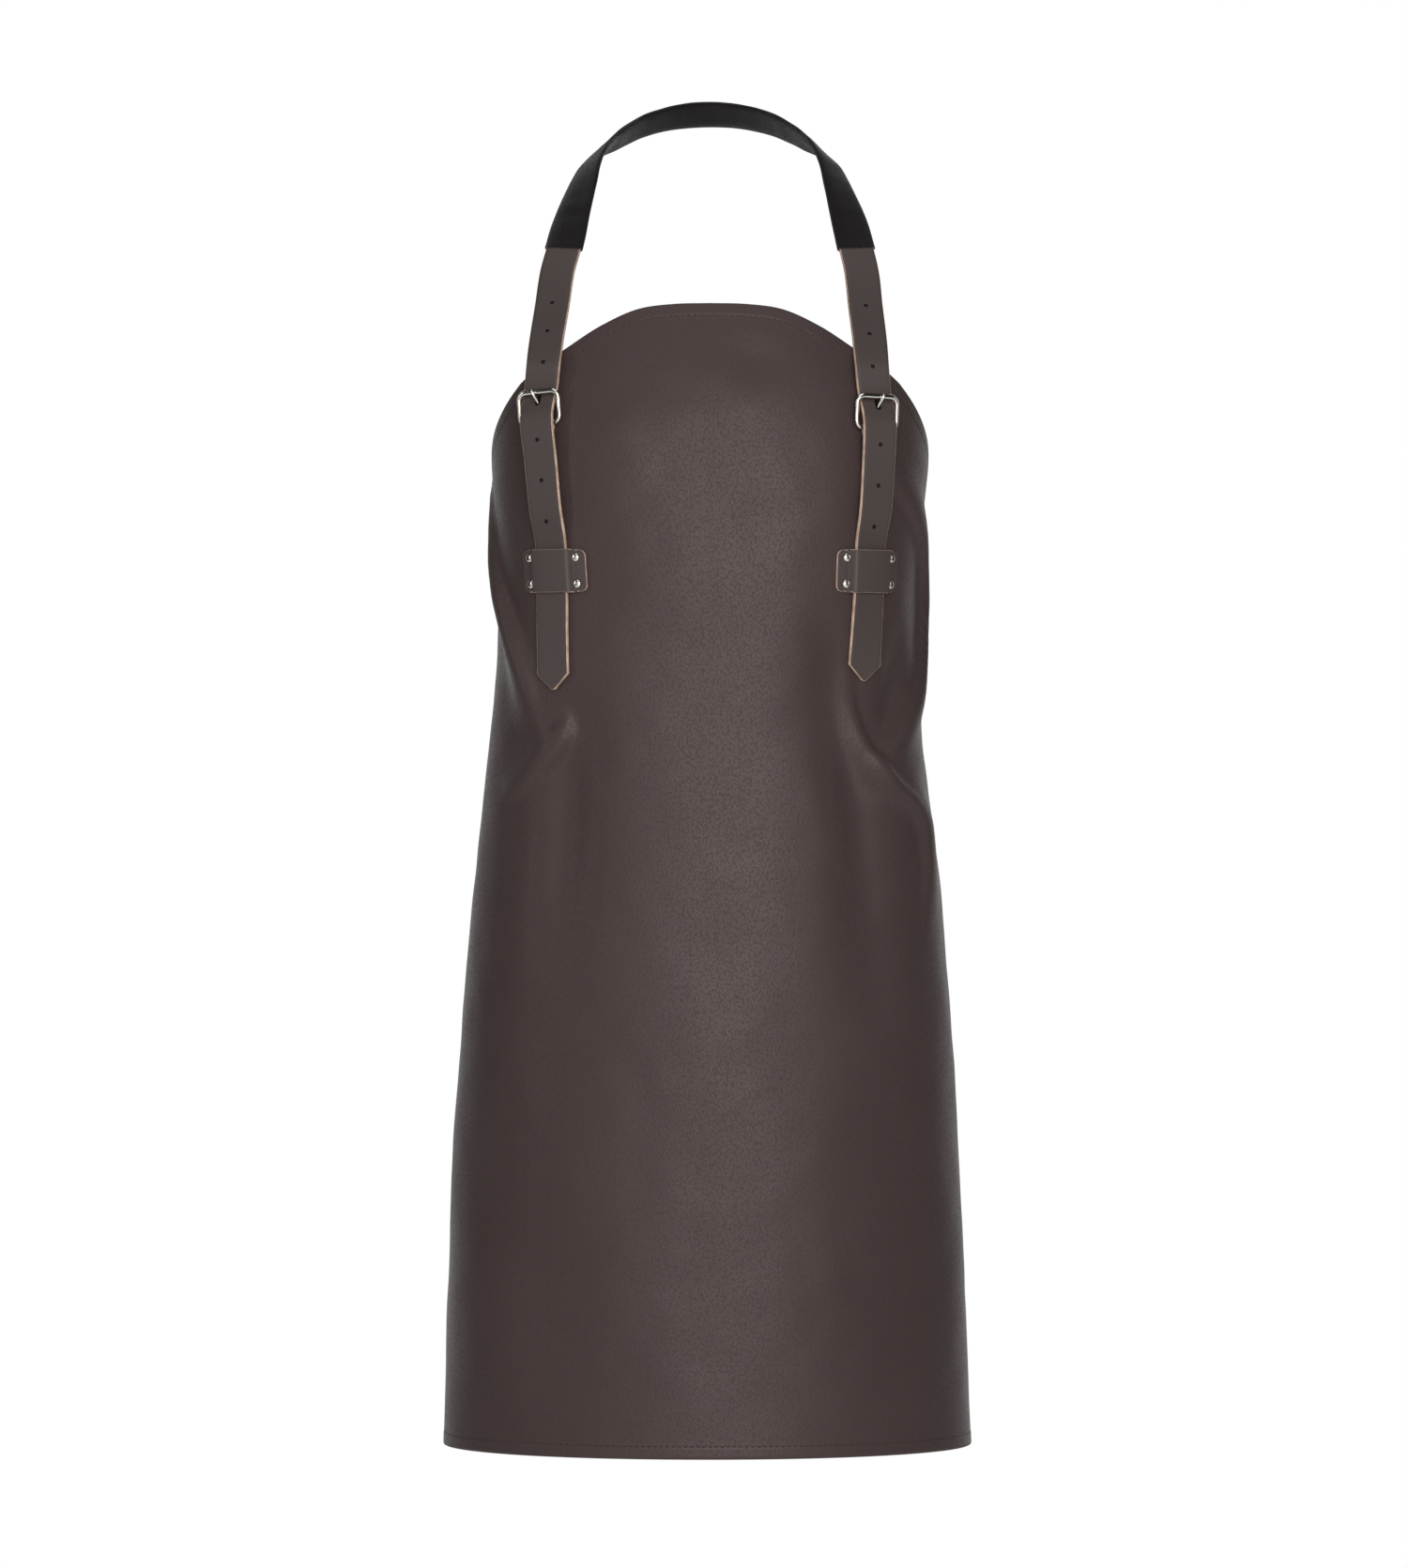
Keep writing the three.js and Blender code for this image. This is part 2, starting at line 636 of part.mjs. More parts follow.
// Stations that the strap and its sleeve share: whole steps from the middle of the neck, with
// none nearer to an end than this share of a step.
const SHORTEST_STEP = 0.3;
function neckStations(start, end) {
  const middle = rowDistance(leftRows.length);
  const first = Math.ceil((start - middle) / STRAP.step + SHORTEST_STEP);
  const last = Math.floor((end - middle) / STRAP.step - SHORTEST_STEP);
  const inside = Array.from({ length: last - first + 1 }, (_, i) => middle + (first + i) * STRAP.step);
  return [start, ...inside, end];
}

// Rows of the path at the buckles: the lower bar, and just under the top bar.
const barRow = STRAP_END.length;
const TOP_BAR_ROWS = STRAP_IN_BUCKLE.length - 1;
const lastRow = pathRows.length - 1;
const barDistances = [barRow, lastRow - barRow].map(rowDistance);
const topBarDistances = [barRow + TOP_BAR_ROWS, lastRow - barRow - TOP_BAR_ROWS].map(rowDistance);
const prongDistances = barDistances.map((bar, index) => (
  THREE.MathUtils.lerp(bar, topBarDistances[index], PRONG.hole_at)));

function makeStrap() {
  const { width, tip_length: tipLength, tip_flat: tipFlat, thickness } = STRAP;
  const buckles = [barRow - 2, barRow + 4, lastRow - barRow - 4, lastRow - barRow + 2].map(rowDistance);
  const spots = [
    ...stations(tipLength, buckles[0], STRAP.step),
    ...stations(buckles[0], buckles[1], STRAP.buckle_step).slice(1),
    ...neckStations(buckles[1], buckles[2]).slice(1),
    ...stations(buckles[2], buckles[3], STRAP.buckle_step).slice(1),
    ...stations(buckles[3], pathLength - tipLength, STRAP.step).slice(1),
  ];
  const rings = [
    bandRing(0, tipFlat, thickness),
    ...spots.map((at) => bandRing(at, width, thickness)),
    bandRing(pathLength, tipFlat, thickness),
  ];
  const cutters = [];
  prongDistances.forEach((prong, side) => {
    const upwards = side === 0 ? 1 : -1;
    for (let i = -STRAP.holes_below_prong; i <= STRAP.holes_above_prong; i += 1) {
      const { point, along, width: across, out } = pathFrame(prong + upwards * i * STRAP.hole_pitch);
      const length = i === 0 ? STRAP.prong_hole_length : STRAP.hole_diameter;
      const rod = crossRod(STRAP.hole_diameter, length, CUT_REACH, STRAP.hole_sides);
      cutters.push(placeIn(rod, point, across, along, new THREE.Vector3().crossVectors(across, along)));
    }
  });
  addPiece('neck_strap', cutAway(loftGeometry(rings), cutters), STRAP_LEATHER);
}

function makeSleeve() {
  const middle = rowDistance(leftRows.length);
  const spots = neckStations(middle - SLEEVE.length / 2, middle + SLEEVE.length / 2);
  const hollow = sleeveThickness - 2 * SLEEVE.wall;
  const outer = spots.map((at) => bandRing(at, SLEEVE.width, sleeveThickness, 0, SLEEVE.wall));
  const inner = spots.map((at) => bandRing(at, SLEEVE.width - 2 * SLEEVE.wall, hollow));
  addPiece('neck_sleeve', tubeGeometry(outer, inner), FABRIC);
}

// Tube through outer rings with a hollow through inner ones, open at both ends.
function tubeGeometry(outer, inner) {
  const beyond = (ring, next) => ring.map((point, i) => (
    point.clone().add(point.clone().sub(next[i]).normalize())));
  const last = inner.length - 1;
  const core = [beyond(inner[0], inner[1]), ...inner, beyond(inner[last], inner[last - 1])];
  return cutAway(loftGeometry(outer), [loftGeometry(core)]);
}

// Buckle frame: wire bent to a rounded rectangle, thicker along its top bar.
function makeBuckle(side) {
  const { origin, right, up, out } = buckleFrame(side);
  const { wire, inner_width: innerWidth, corner_radius: radius, tilt, sides } = BUCKLE;
  const halfWidth = (innerWidth + wire) / 2;
  const path = [];
  const corners = [[1, 0], [1, 1], [-1, 1], [-1, 0]];
  corners.forEach(([x, y], corner) => {
    const centre = [x * (halfWidth - radius), y === 1 ? BUCKLE.bar_distance - radius : radius];
    for (let i = 0; i <= BUCKLE.corner_steps; i += 1) {
      const angle = degrees(90 * (corner - 1 + i / BUCKLE.corner_steps));
      path.push([centre[0] + radius * Math.cos(angle), centre[1] + radius * Math.sin(angle)]);
    }
  });
  const planeUp = up.clone().applyAxisAngle(right, degrees(tilt));
  const planeOut = new THREE.Vector3().crossVectors(right, planeUp);
  const rings = path.map(([x, y], i) => {
    const before = path[(i + path.length - 1) % path.length];
    const after = path[(i + 1) % path.length];
    const heading = new THREE.Vector2(after[0] - before[0], after[1] - before[1]).normalize();
    const share = THREE.MathUtils.smoothstep(y, BUCKLE.bar_distance - radius, BUCKLE.bar_distance);
    const thick = THREE.MathUtils.lerp(wire, BUCKLE.top_bar, share) / 2;
    return Array.from({ length: sides }, (_, k) => {
      const angle = (2 * Math.PI * (k + 0.5)) / sides;
      return origin.clone()
        .addScaledVector(right, x + heading.y * thick * Math.cos(angle))
        .addScaledVector(planeUp, y - heading.x * thick * Math.cos(angle))
        .addScaledVector(planeOut, thick * Math.sin(angle));
    });
  });
  addPiece(`buckle_frame_${side.name}`, loftGeometry(rings, true), METAL);
  makeProng(side, { origin, right, up, out });
}

// Prong: an eye round the lower bar, and a curved wire through the strap onto the top bar.
// lean, up and out are shares of its own lean, of the top bar's height and of its rest there.
const PRONG_CURVE = [
  { lean: 0.00, up: 0.13, out: 0.00 },
  { lean: 0.00, up: 0.32, out: 0.03 },
  { lean: 0.00, up: 0.52, out: 0.10 },
  { lean: 0.25, up: 0.70, out: 0.42 },
  { lean: 0.70, up: 0.88, out: 0.87 },
  { lean: 0.95, up: 0.98, out: 1.03 },
  { lean: 1.05, up: 1.06, out: 0.99 },
];
function makeProng(side, { origin, right, up, out }) {
  const radius = PRONG.wire / 2;
  const tilt = degrees(BUCKLE.tilt);
  const topUp = BUCKLE.bar_distance * Math.cos(tilt);
  const rest = BUCKLE.bar_distance * Math.sin(tilt) + BUCKLE.top_bar / 2 + GAP + radius;
  const eye = BUCKLE.wire / 2 + GAP + radius;
  const points = PRONG_CURVE.map((row) => (
    new THREE.Vector3(side.sign * PRONG.lean * row.lean, topUp * row.up, rest * row.out)));
  const outline = new THREE.Shape();
  outline.absarc(0, 0, radius, 0, Math.PI * 2, false);
  const curve = new THREE.CatmullRomCurve3(points);
  const shank = new THREE.ExtrudeGeometry(outline, {
    steps: PRONG.steps, extrudePath: curve, curveSegments: PRONG.sides / 2, bevelEnabled: false,
  });
  const ring = new THREE.TorusGeometry(eye, radius, PRONG.sides, PRONG.eye_steps).rotateY(Math.PI / 2);
  addPiece(`buckle_prong_${side.name}`, placeIn(join([ring, shank]), origin, right, up, out), METAL);
}

// Cutter for the hole that a rivet's post goes through.
function postHole(length) {
  const diameter = RIVET.post_diameter + 2 * GAP;
  return crossRod(diameter, diameter, length, RIVET.hole_sides);
}

// Chape: two layers of leather behind the strap, round the lower bar, with a slot for the prong.
function makeChape(side, index) {
  const { origin, right, up, out } = buckleFrame(side);
  const width = BUCKLE.inner_width + BUCKLE.wire - 2 * BUCKLE.corner_radius - 2 * GAP;
  const { layer, length, slot_width: slotWidth, slot_length: slotLength } = CHAPE;
  const bar = barDistances[index];
  const downwards = index === 0 ? -1 : 1;
  const offset = -(STRAP.thickness / 2 + GAP + layer);
  const spots = stations(0, length, CHAPE.step).map((back) => bar + downwards * back);
  const slab = loftGeometry(spots.map((at) => bandRing(at, width, 2 * layer, offset)));
  const loopRadius = BUCKLE.wire / 2 + GAP + layer;
  const round = (radius, long) => (
    new THREE.CylinderGeometry(radius, radius, long, CHAPE.loop_sides).rotateZ(Math.PI / 2));
  const loop = round(loopRadius, width);
  const hole = round(BUCKLE.wire / 2 + GAP, 2 * width);
  const slot = new THREE.BoxGeometry(slotWidth, slotLength * 2, 4 * loopRadius);
  const whole = join([slab, placeIn(loop, origin, right, up, out)]);
  const rivet = chapeRivetFrame(index);
  const sunk = RIVET.cap_diameter + 2 * GAP;
  const recess = crossRod(sunk, sunk, CUT_REACH, RIVET.sides);
  recess.translate(0, 0, rivet.seat - GAP + CUT_REACH / 2);
  const cutters = [
    placeIn(hole, origin, right, up, out),
    placeIn(slot, origin, right, up, out),
    placeIn(postHole(2 * CUT_REACH), rivet.point, rivet.right, rivet.up, rivet.out),
    placeIn(recess, rivet.point, rivet.right, rivet.up, rivet.out),
  ];
  addPiece(`chape_${side.name}`, cutAway(whole, cutters), STRAP_LEATHER);
}

// The chape's rivet is square to the chape, with its middle in the leather panel.
function chapeRivetFrame(index) {
  const side = SIDES[index];
  const at = barDistances[index] + (index === 0 ? -1 : 1) * CHAPE.length * CHAPE.rivet_at;
  const { point } = pathFrame(at);
  const level = (-BODY.bib_drop - point.z) / PANEL.height;
  const share = (level - side.buckle_level) / (side.keeper_level - side.buckle_level);
  const distance = side.sign * THREE.MathUtils.lerp(side.buckle_out, side.keeper_out, share);
  const panel = panelFrame(distance, level);
  const height = point.clone().sub(panel.point).dot(panel.normal);
  const seat = height - STRAP.thickness / 2 - GAP - CHAPE.rivet_sink;
  return { ...frameOn(distance, level, 0), seat };
}

function rivetGeometry(frontBase, backBase, capHeight) {
  const cap = RIVET.cap_diameter / 2;
  const post = RIVET.post_diameter / 2;
  const rim = frontBase + capHeight * RIVET.rim;
  const dome = new THREE.Vector2(
    cap * Math.cos(degrees(RIVET.dome)),
    THREE.MathUtils.lerp(rim, frontBase + capHeight, Math.sin(degrees(RIVET.dome))),
  );
  const profile = [
    new THREE.Vector2(0, -backBase - RIVET.back_height),
    new THREE.Vector2(cap, -backBase - RIVET.back_height),
    new THREE.Vector2(cap, -backBase),
    new THREE.Vector2(post, -backBase),
    new THREE.Vector2(post, frontBase),
    new THREE.Vector2(cap, frontBase),
    new THREE.Vector2(cap, rim),
    dome,
    new THREE.Vector2(0, frontBase + capHeight),
  ];
  return new THREE.LatheGeometry(profile, RIVET.sides).rotateX(Math.PI / 2);
}

// Keeper: a plate that follows the panel and rises over the strap.
const strapRoom = STRAP.lift + STRAP.thickness + KEEPER.strap_room;
function makeKeeper(side) {
  const distance = side.sign * side.keeper_out;
  const flat = STRAP.width / 2 + KEEPER.strap_room;
  const edge = KEEPER.width / 2 + KEEPER.trim;
  const foot = flat + KEEPER.ramp;
  const half = [flat, flat + KEEPER.ramp * 0.5, foot, (foot + edge) / 2, edge];
  const stops = [...half.map((stop) => -stop).reverse(), 0, ...half];
  const rise = (across) => strapRoom * (1 - THREE.MathUtils.smoothstep(Math.abs(across), flat, foot));
  const tilt = keeperLean(side);
  const grid = (height) => [-1, 0, 1].map((down) => stops.map((across) => {
    const drop = (down * (KEEPER.height / 2 + KEEPER.trim)) / PANEL.height;
    const slide = -down * (KEEPER.height / 2) * tilt;
    const { point, normal } = panelFrame(distance + across + slide, side.keeper_level + drop);
    return point.addScaledVector(normal, PANEL.thickness / 2 + KEEPER.seat + rise(across) + height);
  }));
  const plate = shellGeometry(grid(KEEPER.thickness), grid(0));
  const { point, right, up, out } = keeperFrame(side);
  const [w, h, r] = [KEEPER.width / 2, KEEPER.height / 2, KEEPER.corner_radius];
  const outline = new THREE.Shape();
  outline.absarc(w - r, h - r, r, 0, Math.PI / 2, false);
  outline.absarc(-w + r, h - r, r, Math.PI / 2, Math.PI, false);
  outline.absarc(-w + r, -h + r, r, Math.PI, Math.PI * 1.5, false);
  outline.absarc(w - r, -h + r, r, Math.PI * 1.5, Math.PI * 2, false);
  const settings = { depth: 2 * CUT_REACH, bevelEnabled: false, curveSegments: 2 };
  const prism = new THREE.ExtrudeGeometry(outline, settings).translate(0, 0, -CUT_REACH);
  placeIn(prism, point, right, up, out);
  const trimmed = fromManifold(toManifold(plate).intersect(toManifold(prism)));
  const cutters = keeperRivets(side).map((rivet) => (
    placeIn(postHole(CUT_REACH), rivet.point, rivet.right, rivet.up, rivet.out)));
  addPiece(`keeper_${side.name}`, cutAway(trimmed, cutters), STRAP_LEATHER);
}

// Slant of the strap at the keeper, sideways per unit of height.
function keeperLean(side) {
  const run = side.sign * (side.buckle_out - side.keeper_out);
  return run / ((side.keeper_level - side.buckle_level) * PANEL.height);
}

function frameOn(distance, level, lean) {
  const { point, across, up, normal } = panelFrame(distance, level);
  const tilted = up.clone().addScaledVector(across, lean).normalize();
  const right = new THREE.Vector3().crossVectors(tilted, normal).normalize();
  return { point, right, up: tilted, out: normal };
}

function keeperFrame(side) {
  return frameOn(side.sign * side.keeper_out, side.keeper_level, keeperLean(side));
}

function keeperRivets(side) {
  const lean = keeperLean(side);
  return [[-1, 1], [1, 1], [-1, -1], [1, -1]].map(([x, y]) => {
    const rise = (y * KEEPER.rivet_rise) / 2;
    const distance = side.sign * side.keeper_out + (x * KEEPER.rivet_spacing) / 2 + rise * lean;
    return frameOn(distance, side.keeper_level - rise / PANEL.height, lean);
  });
}

function makeRivets(side, index) {
  const half = PANEL.thickness / 2;
  keeperRivets(side).forEach(({ point, right, up, out }, i) => {
    const front = half + KEEPER.seat + KEEPER.thickness + GAP + RIVET.seat;
    const geometry = rivetGeometry(front, half + GAP + RIVET.seat, RIVET.cap_height);
    addPiece(`keeper_rivet_${side.name}_${i + 1}`, placeIn(geometry, point, right, up, out), METAL);
  });
  const chape = chapeRivetFrame(index);
  const geometry = rivetGeometry(chape.seat, half + RIVET.seat + GAP, CHAPE.rivet_cap);
  placeIn(geometry, chape.point, chape.right, chape.up, chape.out);
  addPiece(`chape_rivet_${side.name}`, geometry, METAL);
}

function makePanel() {
  const face = (side) => panelRows.map((row) => row.map(({ point, normal }) => (
    point.clone().addScaledVector(normal, (side * PANEL.thickness) / 2))));
  const sheet = shellGeometry(face(1), face(-1));
  const spots = SIDES.flatMap((side, index) => [...keeperRivets(side), chapeRivetFrame(index)]);
  const cutters = spots.map(({ point, right, up, out }) => (
    placeIn(postHole(CUT_REACH), point, right, up, out)));
  addPiece('apron_panel', cutAway(sheet, cutters), LEATHER);
}

makePanel();
makeStrap();
makeSleeve();
SIDES.forEach((side, index) => {
  makeBuckle(side);
  makeChape(side, index);
  makeKeeper(side);
  makeRivets(side, index);
});

export default group;
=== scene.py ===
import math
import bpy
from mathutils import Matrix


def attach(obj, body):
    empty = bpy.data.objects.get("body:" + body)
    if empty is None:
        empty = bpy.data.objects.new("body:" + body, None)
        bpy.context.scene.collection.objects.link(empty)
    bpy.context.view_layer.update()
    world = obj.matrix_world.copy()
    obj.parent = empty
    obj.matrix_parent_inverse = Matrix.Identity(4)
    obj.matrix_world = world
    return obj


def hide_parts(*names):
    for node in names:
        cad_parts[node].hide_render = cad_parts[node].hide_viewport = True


bl_info = {
    "name": "Leather bib apron",
    "version": (1, 0, 0),
    "blender": (4, 5, 0),
    "location": "View3D > Sidebar > Apron",
    "description": "A leather bib apron with a neck strap, shaped as it is when it is worn",
    "category": "Object",
}

import bmesh
import bpy
import numpy as np
from mathutils import Matrix, Vector

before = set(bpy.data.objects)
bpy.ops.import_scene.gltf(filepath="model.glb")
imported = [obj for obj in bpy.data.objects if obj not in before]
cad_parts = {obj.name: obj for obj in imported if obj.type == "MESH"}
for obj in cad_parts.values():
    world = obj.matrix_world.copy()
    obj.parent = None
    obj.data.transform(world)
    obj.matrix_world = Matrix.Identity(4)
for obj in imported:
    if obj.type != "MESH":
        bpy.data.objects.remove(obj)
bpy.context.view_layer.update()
BODY_NAME = "root"

# Lengths in the tables are in millimetres, as in the part's own source.
MM = 0.001

# The leather panel, in the form that it has when it is worn.

BIB_DROP, CHEST_DEPTH, CHEST_LEAN = 143.0, 180.0, 30.0
HEIGHT, THICKNESS, HALF_WIDTH, SIDE_DEPTH = 815.0, 1.6, 189.0, 145.0
FLAT_HALF_WIDTH, CORNER_DROP = 300.0, 56.0

# level, half width, side depth, squareness, set back, shift
SECTIONS = np.array([
    (0.00, 0.825, 0.84, 2.40, 1.15, 0.000),
    (0.05, 0.825, 0.81, 2.40, 0.62, 0.000),
    (0.10, 0.825, 0.79, 2.40, 0.24, 0.000),
    (0.14, 0.822, 0.77, 2.40, 0.08, 0.000),
    (0.20, 0.800, 0.75, 2.40, 0.00, -0.006),
    (0.31, 0.792, 0.73, 2.30, 0.02, -0.016),
    (0.42, 0.836, 0.78, 2.25, -0.06, -0.012),
    (0.55, 0.898, 0.85, 2.20, -0.14, -0.012),
    (0.75, 0.960, 0.93, 2.12, -0.24, -0.015),
    (1.00, 1.000, 1.00, 2.05, -0.32, -0.010),
])
# across, drop
TOP_EDGE = np.array([
    (0.00, 0.000), (0.18, 0.012), (0.35, 0.075), (0.53, 0.280),
    (0.72, 0.575), (0.86, 0.775), (1.00, 1.000),
])
# level, reach
SIDE_EDGE = np.array([
    (0.069, 0.490), (0.097, 0.590), (0.134, 0.725), (0.165, 0.805), (0.205, 0.875),
    (0.255, 0.930), (0.330, 0.965), (0.550, 0.985), (1.000, 1.000),
])

# Folds and hollows: from, by and to as across and down, then height and width in millimetres,
# and the steeper side: 1 is to the right of the fold's own direction, -1 to its left.
FOLD_SWELL, FOLD_STEEP = 0.65, 0.42
FOLDS = [
    ((-0.98, 0.170), (-0.76, 0.272), (-0.57, 0.365), 9.5, 15.0, -1),
    ((-0.90, 0.260), (-0.82, 0.320), (-0.72, 0.380), -3.5, 22.0, 0),
    ((-0.49, 0.358), (-0.50, 0.386), (-0.66, 0.422), 8.0, 14.0, -1),
    ((-0.45, 0.376), (-0.45, 0.445), (-0.44, 0.560), -7.5, 18.0, 0),
    ((0.66, 0.160), (0.97, 0.272), (0.60, 0.392), 9.5, 15.0, 1),
    ((0.72, 0.300), (0.68, 0.338), (0.60, 0.380), -6.0, 14.0, 0),
    ((0.49, 0.328), (0.54, 0.388), (0.70, 0.432), 8.0, 13.0, -1),
    ((0.64, 0.420), (0.78, 0.456), (0.75, 0.530), 7.0, 18.0, 1),
    ((0.44, 0.300), (0.49, 0.415), (0.50, 0.600), -7.5, 18.0, 0),
    ((0.06, 0.045), (0.14, 0.050), (0.24, 0.055), -2.0, 16.0, 0),
    ((0.08, 0.185), (0.18, 0.188), (0.30, 0.180), -2.0, 20.0, 0),
]

SECTION_STEPS, SECTION_SWEEP, SECTION_EASING = 72, math.radians(165), 1.15


def read_column(table, column, at):
    """Smooth curve through one column of a table, read at values of its first column."""
    keys, values = table[:, 0], table[:, column]
    slopes = np.diff(values) / np.diff(keys)
    tangents = np.concatenate([slopes[:1], (slopes[:-1] + slopes[1:]) / 2, slopes[-1:]])
    at = np.clip(np.asarray(at, float), keys[0], keys[-1])
    i = np.clip(np.searchsorted(keys, at) - 1, 0, len(keys) - 2)
    span = keys[i + 1] - keys[i]
    t = (at - keys[i]) / span
    return (
        (2 * t**3 - 3 * t**2 + 1) * values[i] + (t**3 - 2 * t**2 + t) * span * tangents[i]
        + (3 * t**2 - 2 * t**3) * values[i + 1] + (t**3 - t**2) * span * tangents[i + 1]
    )


def sections(level):
    """Sections across the body at these levels: their points, lengths, shift, front and outline."""
    width = read_column(SECTIONS, 1, level) * HALF_WIDTH
    depth = read_column(SECTIONS, 2, level) * SIDE_DEPTH
    power = 2 / read_column(SECTIONS, 3, level)
    shift = read_column(SECTIONS, 5, level) * HALF_WIDTH
    front = -CHEST_DEPTH + read_column(SECTIONS, 4, level) * CHEST_LEAN
    angle = SECTION_SWEEP * np.linspace(0, 1, SECTION_STEPS + 1) ** SECTION_EASING
    x = width[:, None] * np.sin(angle) ** power[:, None]
    back = np.sign(np.cos(angle)) * np.abs(np.cos(angle)) ** power[:, None]
    y = depth[:, None] * (1 - back)
    steps = np.hypot(np.diff(x, axis=1), np.diff(y, axis=1))
    along = np.concatenate([np.zeros((len(level), 1)), np.cumsum(steps, axis=1)], axis=1)
    outline = along[np.arange(len(level)), x.argmax(axis=1)]
    return x, y, along, shift, front, outline


def body_points(distance, level):
    """Points of the unfolded form, and how far round its outline is from the middle."""
    x, y, along, shift, front, outline = sections(level)
    rows = np.arange(len(level))
    reach = np.minimum(np.abs(distance), along[:, -1])
    i = np.clip((along < reach[:, None]).sum(axis=1), 1, SECTION_STEPS)
    t = (reach - along[rows, i - 1]) / (along[rows, i] - along[rows, i - 1])
    px = x[rows, i - 1] + (x[rows, i] - x[rows, i - 1]) * t
    py = y[rows, i - 1] + (y[rows, i] - y[rows, i - 1]) * t
    points = np.stack([shift + np.sign(distance) * px, front + py, -BIB_DROP - level * HEIGHT], axis=1)
    return points, outline


def unit(vectors):
    return vectors / np.maximum(np.linalg.norm(vectors, axis=-1, keepdims=True), 1e-12)


def surface_frame(surface, distance, level, reach=4.0):
    """Directions across and up and the outward normal of a surface given as a function."""
    rise = reach / HEIGHT
    across = unit(surface(distance + reach, level) - surface(distance - reach, level))
    up = unit(surface(distance, level - rise) - surface(distance, level + rise))
    return across, up, unit(np.cross(across, up))


def lerp(a, b, t):
    return a + (b - a) * t


def ease(value, low, high):
    t = np.clip((value - low) / (high - low), 0, 1)
    return t * t * (3 - 2 * t)


def fold_height(distance, level, outline):
    """Height of the folds over the unfolded form."""
    height = np.zeros(len(distance))
    t = np.linspace(0, 1, 25)[:, None]
    for start, by, end, rise, width, steep in FOLDS:
        a, b, c = (np.stack([p[0] * outline, np.full(len(outline), p[1] * HEIGHT)], axis=1)
                   for p in (start, by, end))
        control = 2 * b - (a + c) / 2
        nearest = np.full(len(distance), 1e9)
        at, right_of = np.zeros(len(distance)), np.zeros(len(distance))
        here = np.stack([distance, level * HEIGHT], axis=1)
        for k in range(len(t) - 1):
            (s0, s1) = t[k, 0], t[k + 1, 0]
            p, q = ((1 - s) ** 2 * a + 2 * s * (1 - s) * control + s * s * c for s in (s0, s1))
            step = q - p
            share = np.clip(((here - p) * step).sum(1) / np.maximum((step * step).sum(1), 1e-9), 0, 1)
            off = here - p - step * share[:, None]
            gap = np.linalg.norm(off, axis=1)
            closer = gap < nearest
            nearest = np.where(closer, gap, nearest)
            at = np.where(closer, s0 + (s1 - s0) * share, at)
            across = (step[:, 0] * off[:, 1] - step[:, 1] * off[:, 0]) / np.linalg.norm(step, axis=1)
            right_of = np.where(closer, across, right_of)
        swell = 1 - FOLD_SWELL + FOLD_SWELL * np.sin(math.pi * at)
        lean = ease(steep * right_of / width, -0.1, 0.5) if steep else 0
        height += rise * swell * np.exp(-((nearest / (width * lerp(1, FOLD_STEEP, lean))) ** 2))
    return height


def unfolded(distance, level):
    return body_points(distance, level)[0]


def panel_surface(distance, level):
    """Middle of the leather's thickness, folds included."""
    distance, level = np.broadcast_arrays(np.asarray(distance, float), np.asarray(level, float))
    shape = distance.shape
    distance, level = distance.ravel(), level.ravel()
    points, outline = body_points(distance, level)
    normal = surface_frame(unfolded, distance, level)[2]
    points = points + normal * fold_height(distance, level, outline)[:, None]
    return points.reshape(*shape, 3)


def panel_frame(distance, level):
    """Point, across, up and normal of the panel at one place, as single vectors."""
    distance, level = np.atleast_1d(float(distance)), np.atleast_1d(float(level))
    across, up, normal = surface_frame(panel_surface, distance, level)
    return panel_surface(distance, level)[0], across[0], up[0], normal[0]


def top_level(share):
    return read_column(TOP_EDGE, 1, np.abs(share)) * CORNER_DROP / HEIGHT


def row_reach(down):
    corner = CORNER_DROP / HEIGHT
    return read_column(SIDE_EDGE, 1, corner + (1 - corner) * down) * FLAT_HALF_WIDTH


# The strap's path, from one tip over the neck to the other.

STRAP_WIDTH, STRAP_THICKNESS, STRAP_HALF_SPAN = 25.0, 3.0, 120.0
TIP_LENGTH, TIP_FLAT = 11.0, 2.0
HOLE_DIAMETER, HOLE_PITCH, PRONG_HOLE_WIDTH, PRONG_HOLE_LENGTH = 3.2, 29.0, 4.4, 9.4
STRAP_LIFT, GAP = 0.9, 0.3
# name, sign, buckle out and level, keeper out and level, tip out and level, inward
SIDES = [
    ("left", -1, 121.5, 0.107, 112.0, 0.233, 110.0, 0.336, 1.0),
    ("right", 1, 118.5, 0.111, 118.0, 0.233, 116.0, 0.328, 4.5),
]
# along, height
STRAP_END = [(0.00, 0.0), (0.20, 0.0), (0.36, 0.0), (0.56, 0.0), (0.68, 0.44), (0.86, 0.66)]
STRAP_IN_BUCKLE = [(0.00, 0.00), (0.36, 0.08), (0.68, 0.50), (1.00, 1.00)]
# out, forward, down, turn, tip
SHOULDER = [
    (0.990, 0.822, 1.305, 20, 0), (0.972, 0.750, 1.180, 18, 0), (0.940, 0.618, 1.000, 17, -2),
    (0.910, 0.500, 0.822, 17, -4), (0.868, 0.430, 0.688, 18, -5), (0.83, 0.36, 0.55, 27, -2),
    (0.77, 0.28, 0.38, 44, 3), (0.72, 0.22, 0.26, 57, 9), (0.66, 0.17, 0.19, 68, 16),
    (0.55, 0.11, 0.12, 80, 25), (0.38, 0.045, 0.04, 85, 29), (0.18, 0.005, -0.005, 88, 32),
]
NECK_TIP, SHOULDER_FADE = 33, 4
SLEEVE_LENGTH, SLEEVE_WIDTH, SLEEVE_WALL, SLEEVE_SLACK = 372.0, 28.6, 1.0, 0.35
SLEEVE_THICKNESS = STRAP_THICKNESS + 2 * (SLEEVE_SLACK + SLEEVE_WALL)

